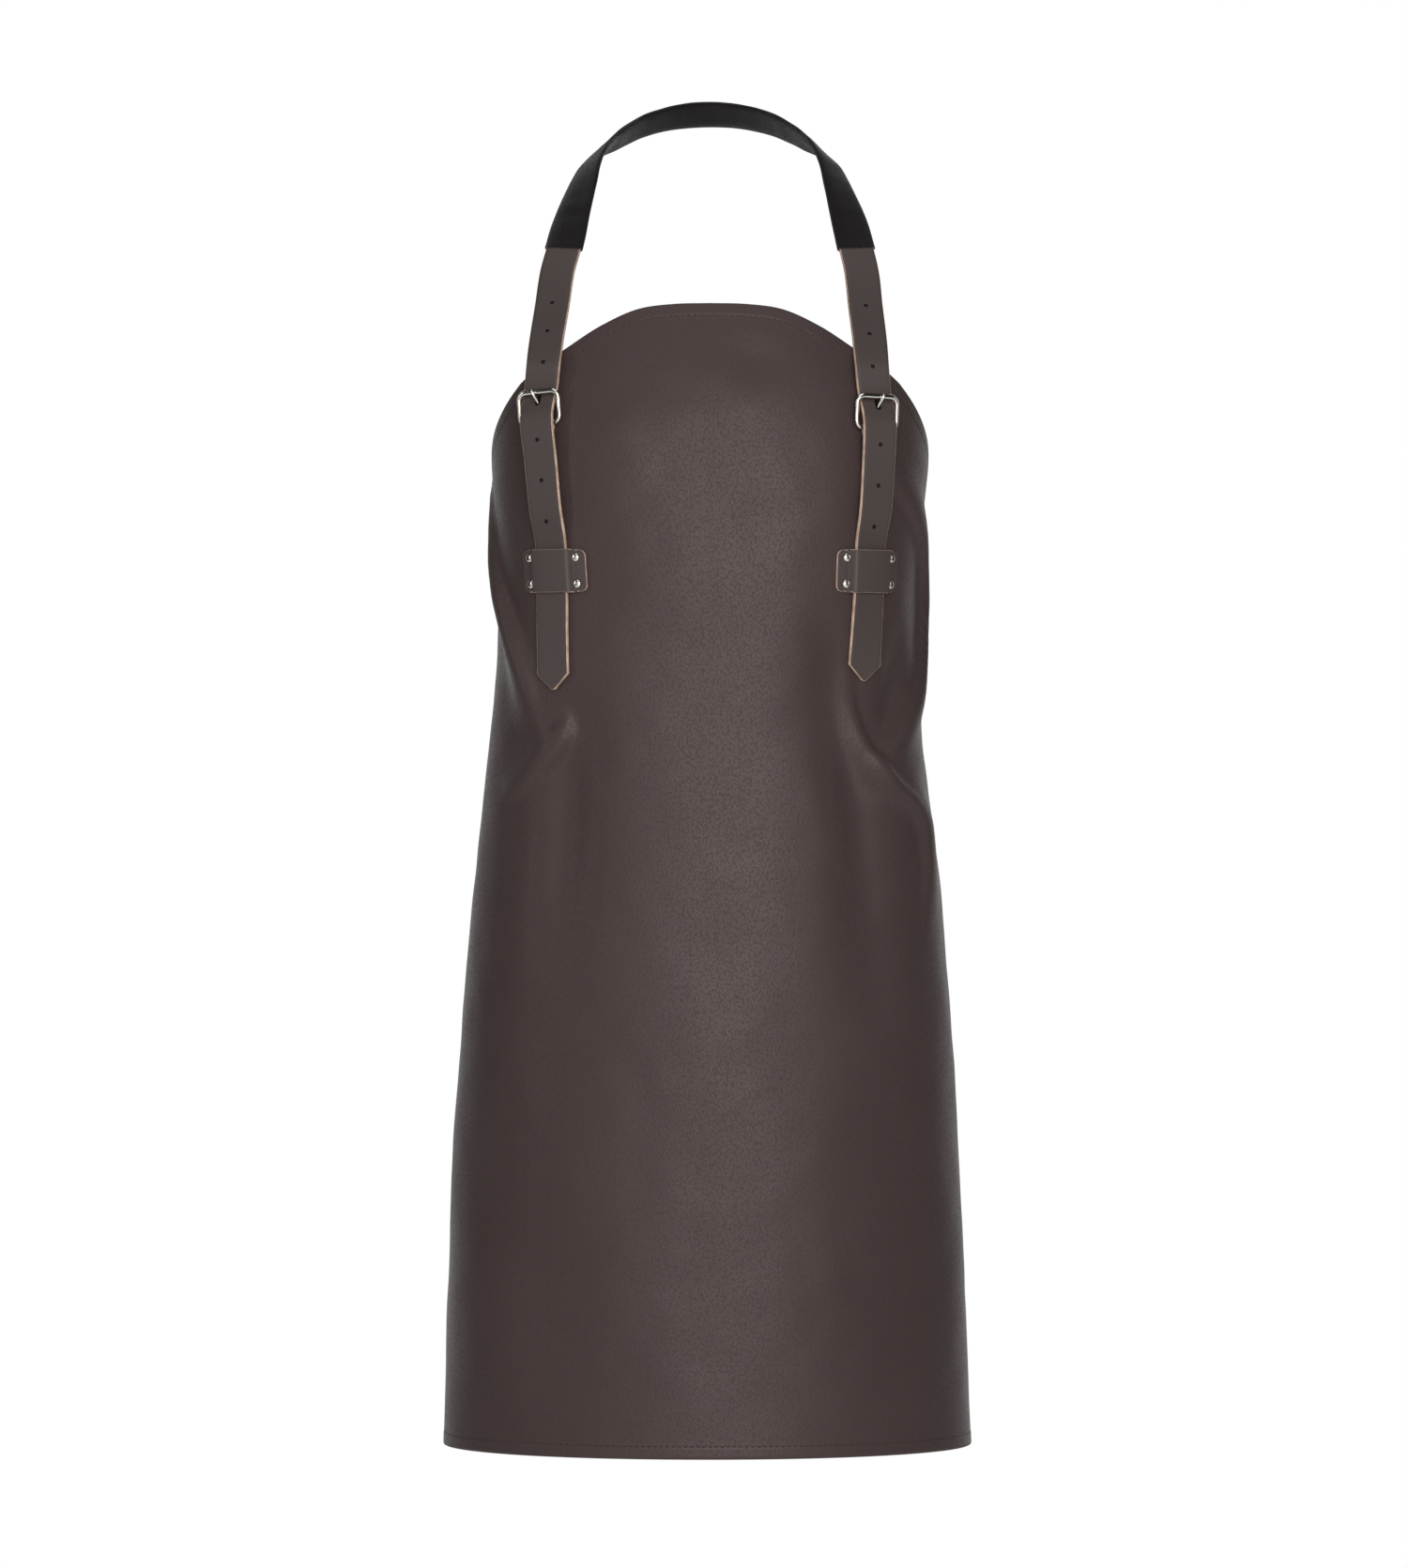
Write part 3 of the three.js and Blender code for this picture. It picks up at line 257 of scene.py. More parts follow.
BUCKLE_INNER, WIRE, TOP_BAR, BAR_DISTANCE, CORNER_RADIUS = 28.0, 3.0, 4.0, 23.0, 5.5
BUCKLE_TILT, BUCKLE_TWIST, UPRIGHTNESS, STAND_OFF, STRAP_SLACK = 10.0, 9.0, 0.3, 1.6, 0.3
PRONG_WIRE, PRONG_LEAN, PRONG_HOLE_AT = 2.2, 3.2, 0.7
EYE_RADIUS = WIRE / 2 + GAP + PRONG_WIRE
BAR_HEIGHT = EYE_RADIUS + GAP + STAND_OFF


def buckle_frame(side):
    """Origin on the axis of the lower bar, with the directions right, up and out."""
    _, sign, out_at, level, keeper_out, keeper_level = side[:6]
    point, _, up, normal = panel_frame(sign * out_at, level)
    keeper = panel_frame(sign * keeper_out, keeper_level)[0]
    lean = unit(point - keeper)
    along = unit(lerp(lean - normal * (lean @ normal), up, UPRIGHTNESS))
    turn = Matrix.Rotation(math.radians(-sign * BUCKLE_TWIST), 3, Vector(along))
    out = np.array(turn @ Vector(normal))
    out = unit(out - along * (out @ along))
    return point + normal * (THICKNESS / 2 + BAR_HEIGHT), np.cross(along, out), along, out


def width_direction(sign, turn, tip):
    turn, tip = math.radians(turn), math.radians(tip)
    level = math.cos(tip)
    return np.array([sign * math.cos(turn) * level, math.sin(turn) * level, -math.sin(tip)])


def side_path(side):
    """Points and width directions of the strap on one side, from its tip up to the neck."""
    _, sign, buckle_out, buckle_level, keeper_out, keeper_level, tip_out, tip_level, inward = side
    origin, right, up, out = buckle_frame(side)
    outwards = right * sign
    half = STRAP_THICKNESS / 2
    rows = []
    below = (tip_level - keeper_level) / (tip_level - buckle_level)
    for along, height in STRAP_END:
        level = lerp(tip_level, buckle_level, along)
        if along < below:
            distance = lerp(tip_out, keeper_out, along / below)
        else:
            distance = lerp(keeper_out, buckle_out, (along - below) / (1 - below))
        point, across, _, normal = panel_frame(sign * distance, level)
        over_bar = BAR_HEIGHT + EYE_RADIUS + GAP
        lift = THICKNESS / 2 + STRAP_LIFT + height * (over_bar - STRAP_LIFT) + half
        rows.append((point + normal * lift, unit(lerp(across * sign, outwards, height))))
    tilt = math.radians(BUCKLE_TILT)
    top_up = BAR_DISTANCE * math.cos(tilt)
    top_out = BAR_DISTANCE * math.sin(tilt) - (TOP_BAR / 2 + GAP + STRAP_SLACK + half)
    over_out = EYE_RADIUS + GAP + half
    for along, height in STRAP_IN_BUCKLE:
        rows.append((origin + up * top_up * along + out * lerp(over_out, top_out, height), outwards))
    first, fade = SHOULDER[0][2], SHOULDER[SHOULDER_FADE][2]
    for out_at, forward, down, turn, tip in SHOULDER:
        drawn = inward * min(max((down - fade) / (first - fade), 0), 1)
        x = sign * (out_at * STRAP_HALF_SPAN - drawn)
        point = np.array([x, -forward * CHEST_DEPTH, -down * BIB_DROP])
        rows.append((point, width_direction(sign, turn, tip)))
    return rows


def spline_segment(p, dt):
    """Cubic between the middle two of four points, with these three spacings."""
    t1 = (p[1] - p[0]) / dt[0] - (p[2] - p[0]) / (dt[0] + dt[1]) + (p[2] - p[1]) / dt[1]
    t2 = (p[2] - p[1]) / dt[1] - (p[3] - p[1]) / (dt[1] + dt[2]) + (p[3] - p[2]) / dt[2]
    t1, t2 = t1 * dt[1], t2 * dt[1]
    return p[1], t1, -3 * p[1] + 3 * p[2] - 2 * t1 - t2, 2 * p[1] - 2 * p[2] + t1 + t2


class Path:
    """Smooth path through rows of points, each with the direction of the strap's width."""

    STEPS = 60
    REACH = 1.5

    def __init__(self, rows):
        points = [np.array(row[0]) for row in rows]
        widths = [np.array(row[1]) for row in rows]
        points = [2 * points[0] - points[1], *points, 2 * points[-1] - points[-2]]
        widths = [2 * widths[0] - widths[1], *widths, 2 * widths[-1] - widths[-2]]
        line, sides = [], []
        for i in range(len(rows) - 1):
            p, w = points[i:i + 4], widths[i:i + 4]
            dt = [max(np.linalg.norm(p[k + 1] - p[k]) ** 0.5, 1e-4) for k in range(3)]
            cubic = spline_segment(p, dt)
            level = spline_segment(w, [1.0, 1.0, 1.0])
            for t in np.arange(self.STEPS) / self.STEPS:
                line.append(sum(c * t**k for k, c in enumerate(cubic)))
                sides.append(sum(c * t**k for k, c in enumerate(level)))
        self.line = np.array([*line, points[-2]])
        self.sides = np.array([*sides, widths[-2]])
        steps = np.linalg.norm(np.diff(self.line, axis=0), axis=1)
        self.lengths = np.concatenate([[0], np.cumsum(steps)])
        self.length = self.lengths[-1]

    def row_distance(self, row):
        return self.lengths[row * self.STEPS]

    def at(self, distance):
        """Point, along, width and out at each distance along the path."""
        distance = np.atleast_1d(np.asarray(distance, float))
        read = lambda values, s: np.stack([np.interp(s, self.lengths, row) for row in values.T], axis=1)
        point = read(self.line, distance)
        ahead = read(self.line, np.minimum(distance + self.REACH, self.length))
        along = unit(ahead - read(self.line, np.maximum(distance - self.REACH, 0)))
        width = read(self.sides, distance)
        width = unit(width - along * (width * along).sum(1, keepdims=True))
        return point, along, width, np.cross(along, width)


SLEEVE_ANGLE = width_direction(1, 90, NECK_TIP)
NECK_OUT = unit(np.cross([1, 0, 0], SLEEVE_ANGLE))
LEFT_ROWS, RIGHT_ROWS = (side_path(side) for side in SIDES)
ALL_ROWS = [*LEFT_ROWS, (NECK_OUT * SLEEVE_THICKNESS / 2, SLEEVE_ANGLE), *RIGHT_ROWS[::-1]]
STRAP_PATH = Path(ALL_ROWS)
NECK_MIDDLE = STRAP_PATH.row_distance(len(LEFT_ROWS))
BAR_ROW, LAST_ROW = len(STRAP_END), len(ALL_ROWS) - 1
UNDER_TOP_BAR = len(STRAP_IN_BUCKLE) - 1
BAR_AT = [STRAP_PATH.row_distance(BAR_ROW), STRAP_PATH.row_distance(LAST_ROW - BAR_ROW)]
TOP_BAR_AT = [
    STRAP_PATH.row_distance(BAR_ROW + UNDER_TOP_BAR),
    STRAP_PATH.row_distance(LAST_ROW - BAR_ROW - UNDER_TOP_BAR),
]
PRONG_AT = [lerp(bar, top, PRONG_HOLE_AT) for bar, top in zip(BAR_AT, TOP_BAR_AT)]

CHAPE_LAYER, CHAPE_LENGTH, CHAPE_RIVET_AT, CHAPE_LAYER_GAP = 2.0, 52.0, 0.72, 0.05
KEEPER_WIDTH, KEEPER_HEIGHT, KEEPER_THICKNESS, KEEPER_CORNER = 52.0, 30.0, 2.0, 5.0
KEEPER_SEAT, STRAP_ROOM, KEEPER_RAMP = 0.55, 1.1, 2.4
RIVET_SPACING, RIVET_RISE = 38.0, 18.5
RIVET_CAP, RIVET_CAP_HEIGHT, RIVET_POST, RIVET_BACK, RIVET_SEAT = 6.0, 1.8, 3.0, 1.0, 0.2
RIVET_SINK, CHAPE_CAP_HEIGHT, CHAPE_CAP_ROOM = 0.25, 0.8, 1.3
# right and up, in the order of the rivets' numbers
RIVET_CORNERS = [(-1, 1), (1, 1), (-1, -1), (1, -1)]


# Tools for meshes.


def props():
    return bpy.context.scene.leather_apron


def only(piece):
    """Selects one object and makes it active."""
    bpy.ops.object.select_all(action="DESELECT")
    piece.select_set(True)
    bpy.context.view_layer.objects.active = piece


def on_all(piece, *steps):
    """Runs operators of edit mode on everything in one piece."""
    only(piece)
    bpy.ops.object.mode_set(mode="EDIT")
    for step in steps:
        bpy.ops.mesh.select_all(action="SELECT")
        step()
    bpy.ops.object.mode_set(mode="OBJECT")


def primitive(kind, name=None, **values):
    """One of Blender's own shapes, alone in the selection."""
    bpy.ops.object.select_all(action="DESELECT")
    getattr(bpy.ops.mesh, f"primitive_{kind}_add")(**values)
    piece = bpy.context.object
    if name:
        piece.name = piece.data.name = name
    return piece


def join(pieces):
    bpy.ops.object.select_all(action="DESELECT")
    for piece in pieces:
        piece.select_set(True)
    bpy.context.view_layer.objects.active = pieces[0]
    bpy.ops.object.join()
    return pieces[0]


def apply_modifier(piece, kind, **values):
    only(piece)
    modifier = piece.modifiers.new(kind.title(), kind)
    for name, value in values.items():
        setattr(modifier, name, value)
    bpy.ops.object.modifier_apply(modifier=modifier.name)


def set_points(piece, points):
    """Moves the vertices of a mesh, given in millimetres."""
    piece.data.vertices.foreach_set("co", (np.asarray(points) * MM).astype(np.float32).ravel())
    piece.data.update()


def get_points(piece):
    """The vertices of a mesh as they are, before they are set in millimetres."""
    return np.array([vertex.co for vertex in piece.data.vertices])


def mesh_piece(name, points, faces):
    mesh = bpy.data.meshes.new(name)
    points = np.asarray(points, float) * MM
    mesh.from_pydata(points.tolist(), [], [tuple(map(int, face)) for face in faces])
    mesh.validate()
    piece = bpy.data.objects.new(name, mesh)
    bpy.context.scene.collection.objects.link(piece)
    return piece


def smooth(piece, angle=40):
    only(piece)
    bpy.ops.object.shade_smooth_by_angle(angle=math.radians(angle))


def recalculate(piece):
    on_all(piece, lambda: bpy.ops.mesh.normals_make_consistent(inside=False))


def set_flat_map(piece, flat):
    """UV map in metres on the flat leather, from one pair of millimetres per vertex."""
    layer = piece.data.uv_layers.get("flat") or piece.data.uv_layers.new(name="flat")
    corner = np.zeros(len(piece.data.loops), np.int32)
    piece.data.loops.foreach_get("vertex_index", corner)
    layer.data.foreach_set("uv", (np.asarray(flat)[corner] * MM).astype(np.float32).ravel())


def set_materials(piece, kinds):
    """Gives a mesh its materials. Each face keeps the number of its own."""
    numbers = [polygon.material_index for polygon in piece.data.polygons]
    piece.data.materials.clear()
    for kind in kinds:
        piece.data.materials.append(material(kind))
    piece.data.polygons.foreach_set("material_index", numbers)


def finish_piece(piece, kinds, replaces=()):
    set_materials(piece, kinds)
    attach(piece, BODY_NAME)
    if replaces:
        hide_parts(*replaces)
    return piece


def placed(points, origin, right, up, out):
    """Points made at the origin, set in a frame of three directions."""
    points = np.asarray(points, float)
    return origin + points[:, :1] * right + points[:, 1:2] * up + points[:, 2:] * out


def tube_faces(rings, sides):
    """Faces of a tube with closed ends, from its rings of vertices."""
    faces = []
    for i in range(rings - 1):
        for j in range(sides):
            a, b = i * sides + j, i * sides + (j + 1) % sides
            faces.append((a, b, b + sides, a + sides))
    faces.append(tuple(range(sides))[::-1])
    faces.append(tuple((rings - 1) * sides + j for j in range(sides)))
    return faces


# Tools for materials.


class Nodes:
    """Adds nodes and links to the tree of a material or of the world."""

    def __init__(self, owner, shader="Principled BSDF"):
        owner.use_nodes = True
        self.owner, self.tree = owner, owner.node_tree
        self.shader = self.tree.nodes[shader]

    def fill(self, node, inputs):
        """Sets inputs of a node, each to a value or to the output of another node."""
        for name, value in inputs.items():
            if isinstance(value, bpy.types.NodeSocket):
                self.tree.links.new(value, node.inputs[name])
            else:
                node.inputs[name].default_value = value

    def shade(self, inputs):
        self.fill(self.shader, inputs)
        return self.owner

    def add(self, kind, inputs, **values):
        node = self.tree.nodes.new(kind)
        for name, value in values.items():
            setattr(node, name, value)
        self.fill(node, inputs)
        return node.outputs

    def place(self):
        """Object coordinates."""
        return self.add("ShaderNodeTexCoord", {})["Object"]

    def flat(self):
        """Place on the piece's flat map."""
        return self.add("ShaderNodeUVMap", {}, uv_map="flat")[0]

    def math(self, operation, a, b=0.0, c=0.0):
        return self.add("ShaderNodeMath", {0: a, 1: b, 2: c}, operation=operation)[0]

    def mix(self, factor, a, b):
        """Mixes two colours, each an output or three numbers."""
        a, b = ((*c, 1) if isinstance(c, tuple) else c for c in (a, b))
        return self.add("ShaderNodeMix", {0: factor, 6: a, 7: b}, data_type="RGBA")[2]

    def noise(self, vector, scale, detail=2.0, roughness=0.5):
        inputs = {"Vector": vector, "Scale": scale, "Detail": detail, "Roughness": roughness}
        return self.add("ShaderNodeTexNoise", inputs)["Fac"]

    def stretch(self, vector, scale):
        return self.add("ShaderNodeMapping", {"Vector": vector, "Scale": scale})[0]

    def range(self, value, low, high, to_low=0.0, to_high=1.0, interpolation="LINEAR"):
        ends = {"From Min": low, "From Max": high, "To Min": to_low, "To Max": to_high}
        return self.add("ShaderNodeMapRange", {"Value": value, **ends}, interpolation_type=interpolation)[0]

    def band(self, value, low, high, to_low=0.0, to_high=1.0):
        return self.range(value, low, high, to_low, to_high, "SMOOTHSTEP")

    def bump(self, height, distance, strength=1.0, normal=None):
        inputs = {"Height": height, "Distance": distance, "Strength": strength}
        if normal is not None:
            inputs["Normal"] = normal
        return self.add("ShaderNodeBump", inputs)[0]


def tinted(colour, share):
    return tuple(c * share for c in colour)


def leather_material(n, colour, dark, roughness=0.5, grain=1.0, creases=1.0, gloss=0.30, nap=0.03):
    """Pebbled grain leather with soft creases."""
    flat = n.flat()
    warp = n.add("ShaderNodeTexNoise", {"Vector": flat, "Scale": 260.0, "Detail": 2.0})["Color"]
    bent = n.add("ShaderNodeMixRGB", {0: 0.0016, 1: flat, 2: warp}, blend_type="ADD")[0]
    pebbles = {"Vector": n.stretch(bent, (1.0, 0.70, 1.0)), "Scale": 640.0, "Smoothness": 0.35}
    cells = n.add("ShaderNodeTexVoronoi", pebbles, feature="SMOOTH_F1")["Distance"]
    fine = n.add("ShaderNodeTexVoronoi", {"Vector": bent, "Scale": 1300.0}, feature="F1")["Distance"]
    vein = n.band(n.noise(n.stretch(bent, (1.0, 0.20, 1.0)), 520.0, 3.0, 0.6), 0.42, 0.62)
    broad = n.noise(flat, 11.0, 3.0, 0.5)
    patch = n.band(n.noise(flat, 24.0, 2.0, 0.5), 0.35, 0.65)
    depth = n.math("MULTIPLY_ADD", fine, 0.22, n.math("POWER", cells, 1.5))
    depth = n.math("MULTIPLY", depth, -1.0)
    depth = n.math("MULTIPLY_ADD", n.math("MULTIPLY", vein, patch), 0.22 * creases, depth)
    normal = n.bump(depth, 0.00035 * grain, 0.25)
    pits = n.band(cells, 0.35, 0.75)
    tone = n.mix(n.math("MULTIPLY", pits, 0.22), colour, dark)
    rough = n.math("MULTIPLY_ADD", pits, 0.12, roughness)
    return n.shade({
        "Base Color": n.mix(n.band(broad, 0.35, 0.7, 0.0, 0.16), tone, tinted(colour, 1.25)),
        "Roughness": n.math("MULTIPLY_ADD", n.band(broad, 0.3, 0.7), 0.05, rough),
        "Normal": n.bump(broad, 0.004, 0.06, normal),
        "Specular IOR Level": gloss, "Specular Tint": (1.0, 0.90, 0.88, 1),
        "Sheen Weight": nap, "Sheen Roughness": 0.55, "Sheen Tint": (1.0, 0.93, 0.9, 1),
    })


def raw_edge_material(n, colour, dark):
    """Cut edge of leather: fibres in fine layers, a little burnished."""
    place = n.place()
    fibres = n.noise(place, 900.0, 4.0, 0.7)
    tone = n.mix(n.band(n.noise(place, 120.0, 3.0, 0.5), 0.35, 0.7), colour, dark)
    tone = n.mix(n.band(fibres, 0.4, 0.75, 0.0, 0.5), tone, tinted(dark, 0.55))
    return n.shade({"Base Color": tone, "Roughness": 0.75, "Normal": n.bump(fibres, 0.0005, 0.5)})


def flesh_material(n, colour, dark):
    """Back of the leather: short suede nap."""
    place = n.place()
    nap = n.noise(place, 1500.0, 4.0, 0.75)
    cloud = n.noise(place, 38.0, 4.0, 0.6)
    tone = n.mix(n.band(cloud, 0.3, 0.75, 0.1, 0.5), colour, dark)
    return n.shade({
        "Base Color": n.mix(n.band(nap, 0.4, 0.7, 0.0, 0.6), tone, tinted(colour, 1.6)),
        "Roughness": 0.95, "Normal": n.bump(nap, 0.0008, 0.6),
        "Sheen Weight": 0.4, "Sheen Roughness": 0.5,
    })


def metal_material(n, colour):
    """Polished nickel with soft fine scratches."""
    place = n.place()
    scratch = n.noise(n.stretch(place, (900.0, 120.0, 900.0)), 1.0, 3.0, 0.6)
    cloud = n.noise(place, 160.0, 2.0, 0.5)
    return n.shade({
        "Base Color": n.mix(n.band(cloud, 0.4, 0.7, 0.0, 0.35), colour, tinted(colour, 0.82)),
        "Roughness": n.band(cloud, 0.3, 0.8, 0.30, 0.42), "Normal": n.bump(scratch, 0.00004, 0.10),
        "Metallic": 0.2, "Specular IOR Level": 0.9,
    })


def weave_material(n, colour, light):
    """Close black twill on the flat map of the sleeve."""
    flat = n.flat()
    turned = n.add("ShaderNodeMapping", {"Vector": flat, "Rotation": (0, 0, math.radians(45))})[0]
    rib = {"Vector": turned, "Scale": 230.0, "Distortion": 0.6, "Detail": 1.0, "Detail Scale": 1.5}
    ribs = n.add("ShaderNodeTexWave", rib, bands_direction="X")["Fac"]
    thread = {"Vector": flat, "Scale": 330.0, "Distortion": 0.3}
    weft = n.add("ShaderNodeTexWave", thread, bands_direction="Y")["Fac"]
    height = n.math("MULTIPLY_ADD", weft, 0.35, ribs)
    height = n.math("MULTIPLY_ADD", n.noise(flat, 700.0, 3.0, 0.7), 0.5, height)
    tone = n.mix(n.band(ribs, 0.2, 0.9, 0.0, 0.6), tinted(colour, 0.55), colour)
    cloud = n.noise(flat, 30.0, 3.0, 0.6)
    return n.shade({
        "Base Color": n.mix(n.band(cloud, 0.4, 0.75, 0.0, 0.35), tone, light),
        "Roughness": 0.92, "Normal": n.bump(height, 0.0003, 0.7), "Specular IOR Level": 0.25,
        "Sheen Weight": 0.25, "Sheen Roughness": 0.4,
    })


def thread_material(n, colour):
    twist = n.noise(n.place(), 2600.0, 2.0, 0.6)
    tone = n.mix(twist, tinted(colour, 0.6), tinted(colour, 1.3))
    return n.shade({"Base Color": tone, "Roughness": 0.7, "Normal": n.bump(twist, 0.0002, 0.5)})


def plain_material(n, colour, roughness, glow=0.0):
    return n.shade({
        "Base Color": (*colour, 1), "Roughness": roughness,
        "Emission Color": (1, 1, 1, 1), "Emission Strength": glow,
    })


def material(name):
    """The apron's materials, each made once."""
    if name in bpy.data.materials:
        return bpy.data.materials[name]
    p = props()
    panel, strap, raw = (tuple(c) for c in (p.leather_colour, p.strap_colour, p.edge_colour))
    sleeve, metal = tuple(p.sleeve_colour), tuple(p.metal_colour)
    maker, *values = {
        "panel_leather": (leather_material, panel, tinted(panel, 0.45), p.leather_roughness),
        "panel_back": (flesh_material, tinted(panel, 1.3), tinted(panel, 0.7)),
        "strap_leather": (leather_material, strap, tinted(strap, 0.5), 0.5, 0.7, 0.6, 0.02, 0.0),
        "strap_edge": (raw_edge_material, raw, tinted(raw, 0.62)),
        # Hole walls: plain brown at a quarter of the strap's colour. This is painted shade: the walls are
        # the strap's cut leather, darkened to stand for the shade inside the punched holes.
        "hole_wall_painted_shade": (plain_material, tinted(strap, 0.25), 0.85),
        "strap_back": (flesh_material, tinted(raw, 0.5), tinted(raw, 0.3)),
        "nickel": (metal_material, metal),
        "sleeve_weave": (weave_material, sleeve, tinted(sleeve, 1.6)),
        "thread": (thread_material, tinted(panel, 0.30)),
        "studio_white": (plain_material, (0.92, 0.92, 0.92), 0.9, 0.12),
    }[name]
    return maker(Nodes(bpy.data.materials.new(name)), *values)


# The leather panel as a sheet.

# The edge is turned to the back and sewn down. HEM is the seam's distance from the edge.
HEM, HEM_PUFF, HEM_LAYER, GROOVE = 9.0, 0.25, 1.1, 0.30
PUFF_END, EDGE_ROUND, GROOVE_WIDTH, LAYER_END, HEM_FACES = 11.0, 1.4, 0.55, (12.4, 13.4), 12.5
CALM_EDGE = (5, 60)
# seed, wavelength, height
RIPPLES = [(3, 95.0, 0.35), (8, 38.0, 0.10)]
EDGE_STOPS = np.array([0.0, 0.5, 1.4, 3.0, 5.0, 6.8, 8.0, 8.6, 9.0, 9.4, 10.0, 11.2, 12.6, 13.6])
CELL = 3.65


def stops_along(length):
    """Places along a side, in millimetres, closer together by its two ends."""
    inner = length - 2 * EDGE_STOPS[-1]
    count = round(inner / CELL)
    middle = EDGE_STOPS[-1] + inner * np.arange(1, count) / count
    return np.concatenate([EDGE_STOPS, middle, length - EDGE_STOPS[::-1]])


def flat_place(share, down):
    """Distance and level of a place given as shares across and down."""
    top = top_level(share)
    return share * row_reach(down), top + (1 - top) * down


def flat_outline(step=3.0):
    """The panel's cut outline on the flat leather, as a closed line."""
    across = np.linspace(-1, 1, round(2 * FLAT_HALF_WIDTH / step))
    down = np.linspace(0, 1, round(HEIGHT / step))
    one = np.ones_like(down)
    sides = [
        flat_place(across, np.zeros_like(across)), flat_place(one, down),
        flat_place(across[::-1], np.ones_like(across)), flat_place(-one, down[::-1]),
    ]
    return np.concatenate([np.stack([d, lv * HEIGHT], axis=1)[:-1] for d, lv in sides])


def edge_distance(flat):
    """Distance of flat places from the cut outline."""
    line = flat_outline()
    nearest = np.full(len(flat), 1e9)
    for p, q in zip(line, np.roll(line, -1, axis=0)):
        step = q - p
        share = np.clip(((flat - p) @ step) / max(step @ step, 1e-9), 0, 1)
        nearest = np.minimum(nearest, np.hypot(*(p + share[:, None] * step - flat).T))
    return nearest


def ripple(flat, seed, wavelength, height, count=24):
    """Smooth unevenness made of waves in all directions."""
    rng = np.random.default_rng(seed)
    total = np.zeros(len(flat))
    for _ in range(count):
        turn, phase = rng.uniform(0, 2 * math.pi, 2)
        size = wavelength * rng.uniform(0.7, 1.6)
        total += np.sin((flat @ [math.cos(turn), math.sin(turn)]) * 2 * math.pi / size + phase)
    return height * total / math.sqrt(count / 2)


def make_panel():
    across = stops_along(2 * FLAT_HALF_WIDTH) / FLAT_HALF_WIDTH - 1
    down = stops_along(HEIGHT) / HEIGHT
    rows, columns = len(down), len(across)
    share, drop = (a.ravel() for a in np.meshgrid(across, down))
    distance, level = flat_place(share, drop)
    flat = np.stack([distance, level * HEIGHT], axis=1)
    edge = edge_distance(flat).reshape(rows, columns)
    edge[[0, -1]] = 0
    edge[:, [0, -1]] = 0
    edge = edge.ravel()
    grid = panel_surface(distance, level).reshape(rows, columns, 3)
    normal = unit(np.cross(np.gradient(grid, axis=1), -np.gradient(grid, axis=0))).reshape(-1, 3)
    wave = sum(ripple(flat, *row) for row in RIPPLES) * ease(edge, *CALM_EDGE)
    middle = grid.reshape(-1, 3) + normal * wave[:, None]
    round_edge = np.sqrt(np.clip(1 - (1 - np.clip(edge / EDGE_ROUND, 0, 1)) ** 2, 0, 1))
    groove = GROOVE * np.exp(-(((edge - HEM) / GROOVE_WIDTH) ** 2))
    puff = HEM_PUFF * (1 - ease(edge, HEM, PUFF_END))
    layer = HEM_LAYER * (1 - ease(edge, *LAYER_END))
    front, back = ((THICKNESS / 2 + extra - groove) * round_edge for extra in (puff, layer))
    points = np.concatenate([middle + normal * front[:, None], middle - normal * back[:, None]])
    first = (np.arange(rows - 1)[:, None] * columns + np.arange(columns - 1)).ravel()
    quads = np.stack([first, first + columns, first + columns + 1, first + 1], axis=1)
    piece = mesh_piece("apron_leather", points, np.concatenate([quads, quads[:, ::-1] + rows * columns]))
    set_flat_map(piece, np.concatenate([flat, flat]))
    inside = edge[quads].min(axis=1) >= HEM_FACES
    numbers = np.concatenate([np.zeros(len(quads)), inside]).astype(np.int32)
    piece.data.polygons.foreach_set("material_index", numbers)
    finish_piece(piece, ["panel_leather", "panel_back"], ["apron_panel"])
    on_all(piece, lambda: bpy.ops.mesh.remove_doubles(threshold=0.00001))
    bpy.ops.object.shade_smooth()
    return piece


STITCH_LENGTH, STITCH_PITCH, THREAD = 3.3, 4.3, 0.62
STITCH_ARCH, STITCH_DIP = 0.30, 0.12


def stitch_places(inset):
    """Evenly spaced places on the line that runs at this distance inside the outline."""
    line = flat_outline(2.0)
    ahead = unit(np.roll(line, -1, axis=0) - np.roll(line, 1, axis=0))
    inside = line + inset * np.stack([-ahead[:, 1], ahead[:, 0]], axis=1)
    inside = inside[edge_distance(inside) > inset - 0.25]
    inside = np.concatenate([inside, inside[:1]])
    steps = np.hypot(*np.diff(inside, axis=0).T)
    along = np.concatenate([[0], np.cumsum(steps)])
    count = int(along[-1] / STITCH_PITCH)
    spots = (np.arange(count) + 0.5) * along[-1] / count
    read = lambda s: np.stack([np.interp(s, along, inside[:, k]) for k in (0, 1)], axis=1)
    return read(spots), unit(read(spots + 1) - read(spots - 1))


def stitch_template():
    """One stitch: a short thread that dips into the leather at both ends."""
    piece = primitive("uv_sphere", segments=6, ring_count=6, radius=1)
    points = get_points(piece)
    faces = [tuple(polygon.vertices) for polygon in piece.data.polygons]
    bpy.data.objects.remove(piece, do_unlink=True)
    along = np.sign(points[:, 2]) * np.abs(points[:, 2]) ** 0.8
    arch = STITCH_ARCH * (1 - along**2) - STITCH_DIP
    across, high = points[:, :2].T * THREAD / 2
    return np.stack([along * STITCH_LENGTH / 2, across, high + arch], axis=1), faces


def sewn(name, origins, ahead, normals):
    """A row of stitches as one piece."""
    shape, faces = stitch_template()
    across = np.cross(normals, ahead)
    points = (
        origins[:, None] + shape[None, :, :1] * ahead[:, None]
        + shape[None, :, 1:2] * across[:, None] + shape[None, :, 2:] * normals[:, None]
    ).reshape(-1, 3)
    every = [tuple(v + k * len(shape) for v in face) for k in range(len(origins)) for face in faces]
    piece = mesh_piece(name, points, every)
    recalculate(piece)
    smooth(piece, 80)
    return piece


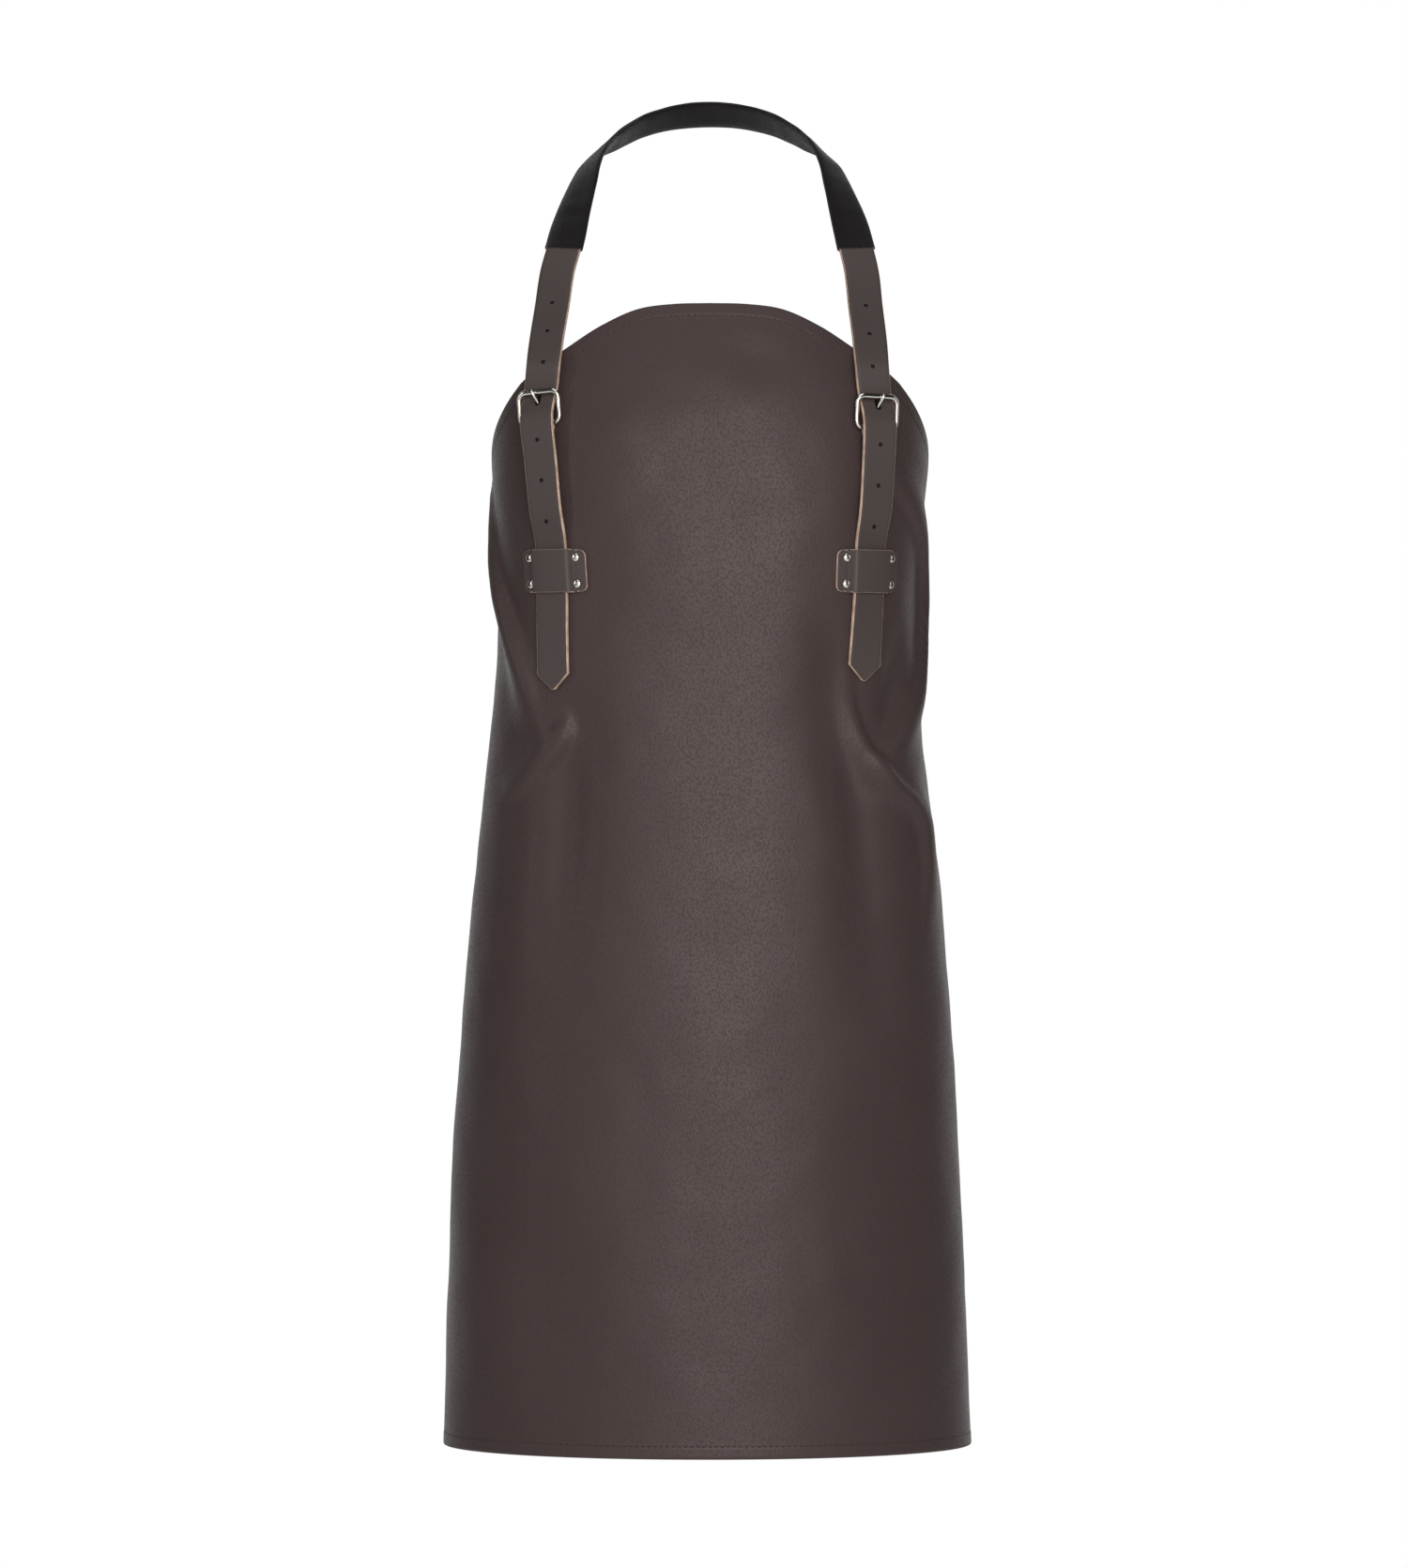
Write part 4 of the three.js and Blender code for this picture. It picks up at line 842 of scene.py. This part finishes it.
def make_hem_stitches():
    spots, heading = stitch_places(HEM)
    distance, level = spots[:, 0], spots[:, 1] / HEIGHT
    point = panel_surface(distance, level)
    normal = surface_frame(panel_surface, distance, level)[2]
    nudge = panel_surface(distance + heading[:, 0], level + heading[:, 1] / HEIGHT)
    ahead = unit(nudge - point)
    front = THICKNESS / 2 + HEM_PUFF / 2 - GROOVE
    back = THICKNESS / 2 + HEM_LAYER - GROOVE
    origins = np.concatenate([point + normal * front, point - normal * back])
    ahead, normal = np.concatenate([ahead, -ahead]), np.concatenate([normal, -normal])
    return finish_piece(sewn("apron_stitching", origins, ahead, normal), ["thread"])


# The neck strap, its sleeve and the small leather pieces.

# The last of these, for the walls of the punched holes, is painted shade.
STRAP_MATERIALS = ("strap_leather", "strap_edge", "strap_back", "hole_wall_painted_shade")
PIECE_MATERIALS = STRAP_MATERIALS[:3]
STRAP_BEVEL, KEEPER_BEVEL, CHAPE_BEVEL = 0.7, 0.4, 0.3
# Each small hole keeps a thin web in the middle of the leather, so that no light shows through it.
HOLE_WEB, HOLES_EACH_WAY = 0.3, 3
TIP_STATIONS, STATION_PITCH = [0, 0.6, 2.5, 5, 8, TIP_LENGTH], 2.6


def strip(name, columns, rows):
    """A flat grid from -1 to 1 both ways, and the two coordinates of its vertices."""
    piece = primitive("grid", name, x_subdivisions=columns, y_subdivisions=rows, size=2)
    x, y, _ = get_points(piece).T
    return piece, x, y


def face_towards(piece, polygon, direction):
    """Turns the whole sheet over where this face of it looks the other way."""
    if polygon.normal @ Vector(direction) < 0:
        piece.data.flip_normals()


def give_thickness(piece, thickness, bevel):
    """Makes a sheet of leather solid, with its rim and its back in the materials for them."""
    rim, back = STRAP_MATERIALS.index("strap_edge"), STRAP_MATERIALS.index("strap_back")
    apply_modifier(
        piece, "SOLIDIFY", thickness=thickness * MM, offset=0.0, use_even_offset=True,
        material_offset=back, material_offset_rim=rim,
    )
    apply_modifier(
        piece, "BEVEL", width=bevel * MM, segments=2, limit_method="ANGLE",
        angle_limit=math.radians(50), use_clamp_overlap=True, material=rim,
    )


def make_strap():
    length = STRAP_PATH.length
    ends = np.array(TIP_STATIONS)
    inner = length - 2 * TIP_LENGTH
    count = round(inner / STATION_PITCH)
    middle = TIP_LENGTH + inner * np.arange(1, count) / count
    stations = np.concatenate([ends, middle, length - ends[::-1]])
    piece, x, y = strip("neck_strap_leather", 8, len(stations) - 1)
    distance = stations[np.rint((y + 1) / 2 * (len(stations) - 1)).astype(int)]
    point, _, width, out = STRAP_PATH.at(distance)
    from_tip = np.minimum(distance, length - distance)
    half = lerp(TIP_FLAT, STRAP_WIDTH, np.clip(from_tip / TIP_LENGTH, 0, 1)) / 2
    set_points(piece, point + width * (x * half)[:, None])
    set_flat_map(piece, np.stack([x * half, distance], axis=1))
    set_materials(piece, STRAP_MATERIALS)
    middle_face = piece.data.polygons[len(piece.data.polygons) // 2]
    face_towards(piece, middle_face, out[middle_face.vertices[0]])
    give_thickness(piece, STRAP_THICKNESS, STRAP_BEVEL)
    for sign, prong in zip((1, -1), PRONG_AT):
        for hole in range(-HOLES_EACH_WAY, HOLES_EACH_WAY + 1):
            where = prong + sign * hole * HOLE_PITCH
            if hole == 0:
                punch(piece, where, PRONG_HOLE_WIDTH, PRONG_HOLE_LENGTH, -STRAP_THICKNESS, STRAP_THICKNESS)
                continue
            for low, high in ((-STRAP_THICKNESS, -HOLE_WEB / 2), (HOLE_WEB / 2, STRAP_THICKNESS)):
                punch(piece, where, HOLE_DIAMETER, HOLE_DIAMETER, low, high)
    smooth(piece, 35)
    return finish_piece(piece, STRAP_MATERIALS, ["neck_strap"])


def punch(piece, distance, across, length, low, high):
    """One punched hole between two heights over the strap's middle."""
    point, along, width, _ = (v[0] for v in STRAP_PATH.at(distance))
    cutter = primitive("cylinder", vertices=20, radius=across / 2, depth=high - low)
    shape = get_points(cutter)
    shape[:, 1] += np.sign(shape[:, 1]) * (length - across) / 2
    shape[:, 2] += (low + high) / 2
    set_points(cutter, placed(shape, point, width, along, np.cross(width, along)))
    set_materials(cutter, STRAP_MATERIALS)
    # The cutter's faces become the hole walls, which carry the painted shade of the holes.
    for polygon in cutter.data.polygons:
        polygon.material_index = STRAP_MATERIALS.index("hole_wall_painted_shade")
    recalculate(cutter)
    apply_modifier(piece, "BOOLEAN", object=cutter, operation="DIFFERENCE", solver="EXACT")
    bpy.data.objects.remove(cutter, do_unlink=True)


# The sleeve's fabric, with a turned and sewn cuff at each end, and soft creases between them.
SLEEVE_SIDES, SLEEVE_STEP, FABRIC_WALL, FABRIC_INSET = 40, 2.2, 0.7, (0.15, 0.35)
CUFF, CUFF_RISE, CUFF_STITCH, CREASE, WAVE = 7.0, 0.22, 0.25, 0.16, 0.18
CREASED_FROM = (4, 20)


def make_sleeve():
    piece = primitive(
        "cylinder", "neck_sleeve_fabric", vertices=SLEEVE_SIDES, radius=1, depth=2, end_fill_type="NOTHING"
    )
    cuts = np.linspace(-1, 1, round(SLEEVE_LENGTH / SLEEVE_STEP) + 1)[1:-1]
    on_all(piece, *(
        lambda low=low: bpy.ops.mesh.bisect(plane_co=(0, 0, low), plane_no=(0, 0, 1)) for low in cuts
    ))
    across, high, share = get_points(piece).T / [[1], [1], [2]]
    turn = np.arctan2(high, across)
    distance = NECK_MIDDLE + share * SLEEVE_LENGTH
    point, _, width, out = STRAP_PATH.at(distance)
    from_end = (0.5 - np.abs(share)) * SLEEVE_LENGTH
    x = np.sign(np.cos(turn)) * np.abs(np.cos(turn)) ** 0.55
    z = np.sign(np.sin(turn)) * np.abs(np.sin(turn)) ** 0.75
    flat = np.stack([turn * (SLEEVE_WIDTH / 2) * 0.66, distance], axis=1)
    cuff = CUFF_RISE * (1 - ease(from_end, CUFF - 0.5, CUFF + 0.6))
    cuff = cuff - CUFF_STITCH * np.exp(-(((from_end - CUFF) / 0.7) ** 2))
    loose = ease(from_end, *CREASED_FROM)
    crease = ripple(np.stack([flat[:, 0] * 0.35, flat[:, 1]], axis=1), 5, 17.0, CREASE) * loose
    wide = SLEEVE_WIDTH / 2 - FABRIC_INSET[0] + WAVE * np.sin(distance / 9.0) * loose
    thick = SLEEVE_THICKNESS / 2 - FABRIC_INSET[1] + (crease + cuff) * np.abs(z)
    set_points(piece, point + width * (x * wide)[:, None] + out * (z * thick)[:, None])
    set_flat_map(piece, flat)
    recalculate(piece)
    wall = SLEEVE_WALL * FABRIC_WALL
    apply_modifier(piece, "SOLIDIFY", thickness=wall * MM, offset=-1.0, use_even_offset=True)
    finish_piece(piece, ["sleeve_weave"], ["neck_sleeve"])
    smooth(piece, 60)
    return piece


def keeper_lean(side):
    """Slant of the strap at the keeper, sideways per unit of height."""
    _, sign, buckle_out, buckle_level, keeper_out, keeper_level = side[:6]
    return sign * (buckle_out - keeper_out) / ((keeper_level - buckle_level) * HEIGHT)


# Dent in the leather under each rivet's cap, and where the ramp beside the strap begins and ends.
DIMPLE, DIMPLE_RADIUS, RAMP_IN, RAMP_OUT = 0.35, 3.6, 0.6, 1.2


def make_keeper(side):
    name, sign, keeper_out, keeper_level = side[0], side[1], side[4], side[5]
    piece, x, y = strip(f"keeper_leather_{name}", 64, 30)
    half_width, half_height, corner = KEEPER_WIDTH / 2, KEEPER_HEIGHT / 2, KEEPER_CORNER
    height = np.sign(y) * np.abs(y) ** 0.8 * half_height
    past = np.clip(np.abs(height) - (half_height - corner), 0, corner)
    across = x * (half_width - corner + np.sqrt(np.clip(corner**2 - past**2, 0, None)))
    distance = sign * keeper_out + across + height * keeper_lean(side)
    level = keeper_level - height / HEIGHT
    foot = STRAP_WIDTH / 2 + STRAP_ROOM
    bridge = 1 - ease(np.abs(across), foot - RAMP_IN, foot + KEEPER_RAMP + RAMP_OUT)
    lift = THICKNESS / 2 + KEEPER_SEAT + (STRAP_LIFT + STRAP_THICKNESS + STRAP_ROOM) * bridge
    for right, up in RIVET_CORNERS:
        away = np.hypot(across - right * RIVET_SPACING / 2, height - up * RIVET_RISE / 2)
        lift = lift - DIMPLE * np.exp(-((away / DIMPLE_RADIUS) ** 2))
    normal = surface_frame(panel_surface, distance, level)[2]
    set_points(piece, panel_surface(distance, level) + normal * (lift + KEEPER_THICKNESS / 2)[:, None])
    set_flat_map(piece, np.stack([across, height], axis=1))
    face_towards(piece, piece.data.polygons[0], normal[0])
    set_materials(piece, PIECE_MATERIALS)
    give_thickness(piece, KEEPER_THICKNESS, KEEPER_BEVEL)
    finish_piece(piece, PIECE_MATERIALS, [f"keeper_{name}"])
    smooth(piece, 35)
    return piece


def make_rivet(name, replaces, place, front, back, cap_height):
    """A capped rivet, from its post's flat back to the domed cap that stands on the front."""
    radius = RIVET_CAP / 2
    cap = primitive("uv_sphere", segments=28, ring_count=16, radius=radius)
    shape = get_points(cap)
    dome = np.clip(shape[:, 2] / radius, 0, None) ** 0.9
    high = front + cap_height * (0.25 + 0.75 * dome)
    shape[:, 2] = np.where(shape[:, 2] < -1e-4, front, high)
    set_points(cap, placed(shape, *place))
    parts = [cap]
    for size, low, top in ((radius, -back - RIVET_BACK, -back), (RIVET_POST / 2, -back, front)):
        part = primitive("cylinder", vertices=28, radius=size, depth=top - low)
        shape = get_points(part)
        shape[:, 2] += (low + top) / 2
        set_points(part, placed(shape, *place))
        parts.append(part)
    piece = join(parts)
    piece.name = piece.data.name = name
    recalculate(piece)
    finish_piece(piece, ["nickel"], [replaces])
    smooth(piece, 50)
    return piece


def frame_on(distance, level, lean):
    """Point on the panel with the directions right, up and out, leaning sideways."""
    point, across, up, normal = panel_frame(distance, level)
    tilted = unit(up + across * lean)
    return point, unit(np.cross(tilted, normal)), tilted, normal


def make_rivets(index):
    name, sign, buckle_out, buckle_level, keeper_out, keeper_level = SIDES[index][:6]
    lean = keeper_lean(SIDES[index])
    half = THICKNESS / 2
    back = half + GAP + RIVET_SEAT
    front = half + KEEPER_SEAT + KEEPER_THICKNESS + GAP + RIVET_SEAT - RIVET_SINK
    for number, (right, up) in enumerate(RIVET_CORNERS, 1):
        rise = up * RIVET_RISE / 2
        distance = sign * keeper_out + right * RIVET_SPACING / 2 + rise * lean
        place = frame_on(distance, keeper_level - rise / HEIGHT, lean)
        ending = f"{name}_{number}"
        make_rivet(f"keeper_cap_{ending}", f"keeper_rivet_{ending}", place, front, back, RIVET_CAP_HEIGHT)
    at = BAR_AT[index] + (-1 if index == 0 else 1) * CHAPE_LENGTH * CHAPE_RIVET_AT
    point = STRAP_PATH.at(at)[0][0]
    level = (-BIB_DROP - point[2]) / HEIGHT
    share = (level - buckle_level) / (keeper_level - buckle_level)
    place = frame_on(sign * lerp(buckle_out, keeper_out, share), level, 0)
    seat = (point - place[0]) @ place[3] - STRAP_THICKNESS / 2 - GAP - CHAPE_CAP_ROOM
    make_rivet(f"chape_cap_{name}", f"chape_rivet_{name}", place, seat, back, CHAPE_CAP_HEIGHT)


# Buckles and what holds them. A ring of this radius is bent to the buckle's shape.

RING, CORNER_STEPS, WIRE_SIDES = 10, 10, 20


def make_buckle(index):
    name = SIDES[index][0]
    origin, right, up, out = buckle_frame(SIDES[index])
    half, radius = (BUCKLE_INNER + WIRE) / 2, CORNER_RADIUS
    path = []
    for corner, (x, y) in enumerate([(1, 0), (1, 1), (-1, 1), (-1, 0)]):
        centre = (x * (half - radius), BAR_DISTANCE - radius if y else radius)
        for i in range(CORNER_STEPS + 1):
            angle = math.radians(90 * (corner - 1 + i / CORNER_STEPS))
            path.append((centre[0] + radius * math.cos(angle), centre[1] + radius * math.sin(angle)))
    path = np.array(path)
    ahead = unit(np.roll(path, -1, axis=0) - np.roll(path, 1, axis=0))
    thick = lerp(WIRE, TOP_BAR, ease(path[:, 1], BAR_DISTANCE - radius, BAR_DISTANCE)) / 2
    piece = primitive(
        "torus", f"buckle_wire_{name}", major_segments=len(path), minor_segments=WIRE_SIDES,
        major_radius=RING, minor_radius=1,
    )
    a, b, c = get_points(piece).T
    major = np.rint(np.arctan2(b, a) / (2 * math.pi) * len(path)).astype(int) % len(path)
    minor = np.arctan2(c, np.hypot(a, b) - RING)
    tilt = math.radians(BUCKLE_TILT)
    plane_up = up * math.cos(tilt) + out * math.sin(tilt)
    beside = thick[major] * np.cos(minor)
    x = path[major, 0] + ahead[major, 1] * beside
    y = path[major, 1] - ahead[major, 0] * beside
    shape = np.stack([x, y, thick[major] * np.sin(minor)], axis=1)
    set_points(piece, placed(shape, origin, right, plane_up, np.cross(right, plane_up)))
    recalculate(piece)
    finish_piece(piece, ["nickel"], [f"buckle_frame_{name}"])
    smooth(piece, 60)
    return piece


# sideways, up and out, as shares of the prong's lean, the top bar's height and its front
PRONG_CURVE = [
    (0.00, 0.13, 0.00), (0.00, 0.32, 0.03), (0.00, 0.52, 0.10), (0.25, 0.70, 0.42),
    (0.70, 0.88, 0.87), (0.95, 0.98, 1.03), (1.05, 1.06, 0.99),
]
PRONG_STEPS, PRONG_SIDES, PRONG_TAPER = 34, 16, 0.86
# from the end and size, as shares of the wire's radius
PRONG_END = np.array([(0.6, 0.9), (0.25, 0.66), (0.02, 0.15)])


def make_prong(index):
    name, sign = SIDES[index][:2]
    frame = buckle_frame(SIDES[index])
    radius = PRONG_WIRE / 2
    tilt = math.radians(BUCKLE_TILT)
    top_up = BAR_DISTANCE * math.cos(tilt)
    rest = BAR_DISTANCE * math.sin(tilt) + TOP_BAR / 2 + GAP + radius
    reach = np.array([sign * PRONG_LEAN, top_up, rest])
    path = Path([(reach * row, (1.0, 0, 0)) for row in PRONG_CURVE])
    shank = np.linspace(0, path.length - radius, PRONG_STEPS)
    spots = np.concatenate([shank, path.length - radius * PRONG_END[:, 0]])
    size = np.concatenate([np.ones(PRONG_STEPS), PRONG_END[:, 1]]) * radius
    size *= lerp(1.0, PRONG_TAPER, ease(spots, 0.5 * path.length, path.length))
    point, _, width, across = path.at(spots)
    angle = 2 * math.pi * np.arange(PRONG_SIDES) / PRONG_SIDES
    rings = (
        point[:, None] + width[:, None] * (np.cos(angle)[None, :, None] * size[:, None, None])
        + across[:, None] * (np.sin(angle)[None, :, None] * size[:, None, None])
    ).reshape(-1, 3)
    faces = tube_faces(len(spots), PRONG_SIDES)
    piece = mesh_piece(f"buckle_tongue_{name}", placed(rings, *frame), faces)
    eye = WIRE / 2 + GAP + radius
    ring = primitive("torus", major_segments=28, minor_segments=14, major_radius=eye, minor_radius=radius)
    set_points(ring, placed(get_points(ring)[:, [2, 0, 1]], *frame))
    join([piece, ring])
    recalculate(piece)
    finish_piece(piece, ["nickel"], [f"buckle_prong_{name}"])
    smooth(piece, 60)
    return piece


def make_chape(index):
    """Two layers under the strap, joined by a loop round the lower bar, with a slot for the prong."""
    name = SIDES[index][0]
    half_width = (BUCKLE_INNER + WIRE - 2 * CORNER_RADIUS - 2 * GAP) / 2
    bar_drop = EYE_RADIUS + GAP + STRAP_THICKNESS / 2
    loop = WIRE / 2 + GAP + CHAPE_LAYER / 2
    front = -(STRAP_THICKNESS / 2 + GAP + CHAPE_LAYER / 2)
    back = front - CHAPE_LAYER - CHAPE_LAYER_GAP
    # distance below the bar and height over the strap's middle, from the back layer to the front
    line = [(s, back) for s in np.linspace(CHAPE_LENGTH, 12, 15)]
    line += [(s, lerp(-bar_drop - loop, back, ease(s, 0, 12))) for s in np.linspace(11, 1, 8)]
    line += [(-loop * math.sin(a), -bar_drop + loop * math.cos(a)) for a in np.linspace(math.pi, 0, 17)]
    line += [(s, lerp(-bar_drop + loop, front, ease(s, 0, 8))) for s in np.linspace(1, 9, 7)]
    line += [(s, front) for s in np.linspace(12, CHAPE_LENGTH, 15)]
    line = np.array(line)
    piece, x, y = strip(f"chape_leather_{name}", 10, len(line) - 1)
    row = np.rint((y + 1) / 2 * (len(line) - 1)).astype(int)
    below, height = line[row].T
    point, _, width, out = STRAP_PATH.at(BAR_AT[index] + (-1 if index == 0 else 1) * below)
    set_points(piece, point + width * (x * half_width)[:, None] + out * height[:, None])
    run = np.concatenate([[0], np.cumsum(np.hypot(*np.diff(line, axis=0).T))])
    set_flat_map(piece, np.stack([x * half_width, run[row]], axis=1))
    slot = (np.abs(x) < 0.25) & (below > -loop - 1) & (below < 9) & (height > -bar_drop - 1.2)
    mesh = bmesh.new()
    mesh.from_mesh(piece.data)
    cut = [face for face in mesh.faces if all(slot[vertex.index] for vertex in face.verts)]
    bmesh.ops.delete(mesh, geom=cut, context="FACES")
    mesh.to_mesh(piece.data)
    mesh.free()
    face_towards(piece, piece.data.polygons[-1], out[0])
    set_materials(piece, PIECE_MATERIALS)
    give_thickness(piece, CHAPE_LAYER, CHAPE_BEVEL)
    finish_piece(piece, PIECE_MATERIALS, [f"chape_{name}"])
    smooth(piece, 40)
    return piece


# The studio.

CAMERA_DISTANCE, CAMERA_LEVEL, CAMERA_SIDE = 5.88, -0.4834, -0.0043
LENS, SENSOR = 186.06, 36.0
FLOOR_RADIUS = 3.6
# place, target, width and height in metres, power in watts
LIGHTS = {
    "key_light": ((0.50, -3.7, 0.20), (0, -0.1, -0.65), (1.8, 2.4), 68),
    "left_light": ((-2.5, -1.2, 0.2), (0, 0, -0.45), (0.4, 1.8), 9),
    "right_light": ((2.6, -0.8, 0.2), (0, 0, -0.45), (0.4, 1.8), 4),
    "top_light": ((0, -0.9, 2.3), (0, -0.05, -0.3), (2.2, 1.4), 17),
}


def soft_box(name, place, target, size, power):
    light = bpy.data.lights.new(name, "AREA")
    light.shape = "RECTANGLE"
    light.size, light.size_y = size
    light.energy = power
    lamp = bpy.data.objects.new(name, light)
    bpy.context.scene.collection.objects.link(lamp)
    lamp.location = place
    lamp.rotation_euler = (Vector(target) - Vector(place)).to_track_quat("-Z", "Y").to_euler()
    return lamp


def make_stage():
    scene = bpy.context.scene
    p = props()
    camera = bpy.data.objects.new("camera", bpy.data.cameras.new("camera"))
    scene.collection.objects.link(camera)
    camera.location = (CAMERA_SIDE, -CAMERA_DISTANCE, CAMERA_LEVEL)
    camera.rotation_euler = (math.pi / 2, 0, 0)
    camera.data.lens, camera.data.sensor_width = LENS, SENSOR
    camera.data.clip_start, camera.data.clip_end = 0.1, 100
    scene.camera = camera
    low = (0, 0, p.floor_level)
    floor = primitive("circle", "floor", vertices=96, radius=FLOOR_RADIUS, fill_type="NGON", location=low)
    bpy.ops.object.transform_apply(location=True)
    floor.data.materials.append(material("studio_white"))
    for name, (place, target, size, power) in LIGHTS.items():
        soft_box(name, place, target, size, power * p.light)
    make_world()
    scene.view_settings.view_transform = "Standard"


def make_world():
    """White to the camera. To everything else it is dark, but for the back and a soft front."""
    scene = bpy.context.scene
    scene.world = bpy.data.worlds.new("studio")
    n = Nodes(scene.world, "Background")
    depth = n.add("ShaderNodeSeparateXYZ", {0: n.add("ShaderNodeTexCoord", {})["Generated"]})["Y"]
    behind = n.range(depth, 0.45, 0.95, 0.02, 1.0)
    before = n.range(depth, -0.62, -0.98)
    seen = n.add("ShaderNodeLightPath", {})["Is Camera Ray"]
    strength = n.add("ShaderNodeMix", {"Factor": seen, "A": n.math("ADD", behind, before), "B": 1.0})[0]
    n.shade({"Color": (1, 1, 1, 1), "Strength": strength})


# The add-on: settings, one operator for each piece or group of like pieces, and a panel.


def colour_setting(name, description, default):
    return bpy.props.FloatVectorProperty(
        name=name, description=description, subtype="COLOR", default=default, min=0, max=1
    )


class LeatherApronSettings(bpy.types.PropertyGroup):
    leather_colour: colour_setting("Leather", "Colour of the apron's leather", (0.051, 0.0345, 0.033))
    leather_roughness: bpy.props.FloatProperty(
        name="Roughness", description="Roughness of the apron's leather", subtype="FACTOR",
        default=0.40, min=0, max=1,
    )
    strap_colour: colour_setting("Strap", "Colour of the straps and keepers", (0.022, 0.0132, 0.0118))
    edge_colour: colour_setting("Cut edge", "Colour of the straps' raw cut edges", (0.80, 0.56, 0.42))
    sleeve_colour: colour_setting("Sleeve", "Colour of the fabric sleeve", (0.0055, 0.0034, 0.0030))
    metal_colour: colour_setting("Metal", "Colour of the buckles and rivets", (0.96, 0.91, 0.84))
    light: bpy.props.FloatProperty(
        name="Light", description="Strength of the studio lights", default=1.0, min=0, max=10,
    )
    floor_level: bpy.props.FloatProperty(
        name="Floor level", description="Height of the floor under the neck mount", subtype="DISTANCE",
        unit="LENGTH", default=-1.45,
    )


class ApronOperator:
    bl_options = {"REGISTER", "UNDO"}


class APRON_OT_stage(ApronOperator, bpy.types.Operator):
    """Add the camera, the floor and the soft studio light"""

    bl_idname = "apron.stage"
    bl_label = "Studio"

    def execute(self, context):
        make_stage()
        return {"FINISHED"}


class APRON_OT_panel(ApronOperator, bpy.types.Operator):
    """Add the leather panel with its turned and sewn edge"""

    bl_idname = "apron.panel"
    bl_label = "Leather panel"

    def execute(self, context):
        make_panel()
        make_hem_stitches()
        return {"FINISHED"}


class APRON_OT_strap(ApronOperator, bpy.types.Operator):
    """Add the neck strap with its punched holes"""

    bl_idname = "apron.strap"
    bl_label = "Neck strap"

    def execute(self, context):
        make_strap()
        return {"FINISHED"}


class APRON_OT_sleeve(ApronOperator, bpy.types.Operator):
    """Add the fabric sleeve behind the neck"""

    bl_idname = "apron.sleeve"
    bl_label = "Neck sleeve"

    def execute(self, context):
        make_sleeve()
        return {"FINISHED"}


class APRON_OT_buckles(ApronOperator, bpy.types.Operator):
    """Add the two buckles, their prongs and the leather loops that hold them"""

    bl_idname = "apron.buckles"
    bl_label = "Buckles"

    def execute(self, context):
        for index in range(len(SIDES)):
            make_buckle(index)
            make_prong(index)
            make_chape(index)
        return {"FINISHED"}


class APRON_OT_keepers(ApronOperator, bpy.types.Operator):
    """Add the two leather keepers and all the rivets"""

    bl_idname = "apron.keepers"
    bl_label = "Keepers and rivets"

    def execute(self, context):
        for index, side in enumerate(SIDES):
            make_keeper(side)
            make_rivets(index)
        return {"FINISHED"}


OPERATORS = (
    APRON_OT_stage, APRON_OT_panel, APRON_OT_strap, APRON_OT_sleeve, APRON_OT_buckles, APRON_OT_keepers,
)


class APRON_PT_sidebar(bpy.types.Panel):
    """Settings and pieces of the apron"""

    bl_idname = "APRON_PT_sidebar"
    bl_label = "Leather bib apron"
    bl_space_type = "VIEW_3D"
    bl_region_type = "UI"
    bl_category = "Apron"

    def draw(self, context):
        for name in LeatherApronSettings.__annotations__:
            self.layout.prop(context.scene.leather_apron, name)
        for operator in OPERATORS:
            self.layout.operator(operator.bl_idname)


def register():
    for entry in (LeatherApronSettings, *OPERATORS, APRON_PT_sidebar):
        bpy.utils.register_class(entry)
    bpy.types.Scene.leather_apron = bpy.props.PointerProperty(type=LeatherApronSettings)


def unregister():
    del bpy.types.Scene.leather_apron
    for entry in reversed((LeatherApronSettings, *OPERATORS, APRON_PT_sidebar)):
        bpy.utils.unregister_class(entry)


def main():
    register()
    for operator in OPERATORS:
        group, name = operator.bl_idname.split(".")
        getattr(getattr(bpy.ops, group), name)()


if __name__ == "__main__":
    main()
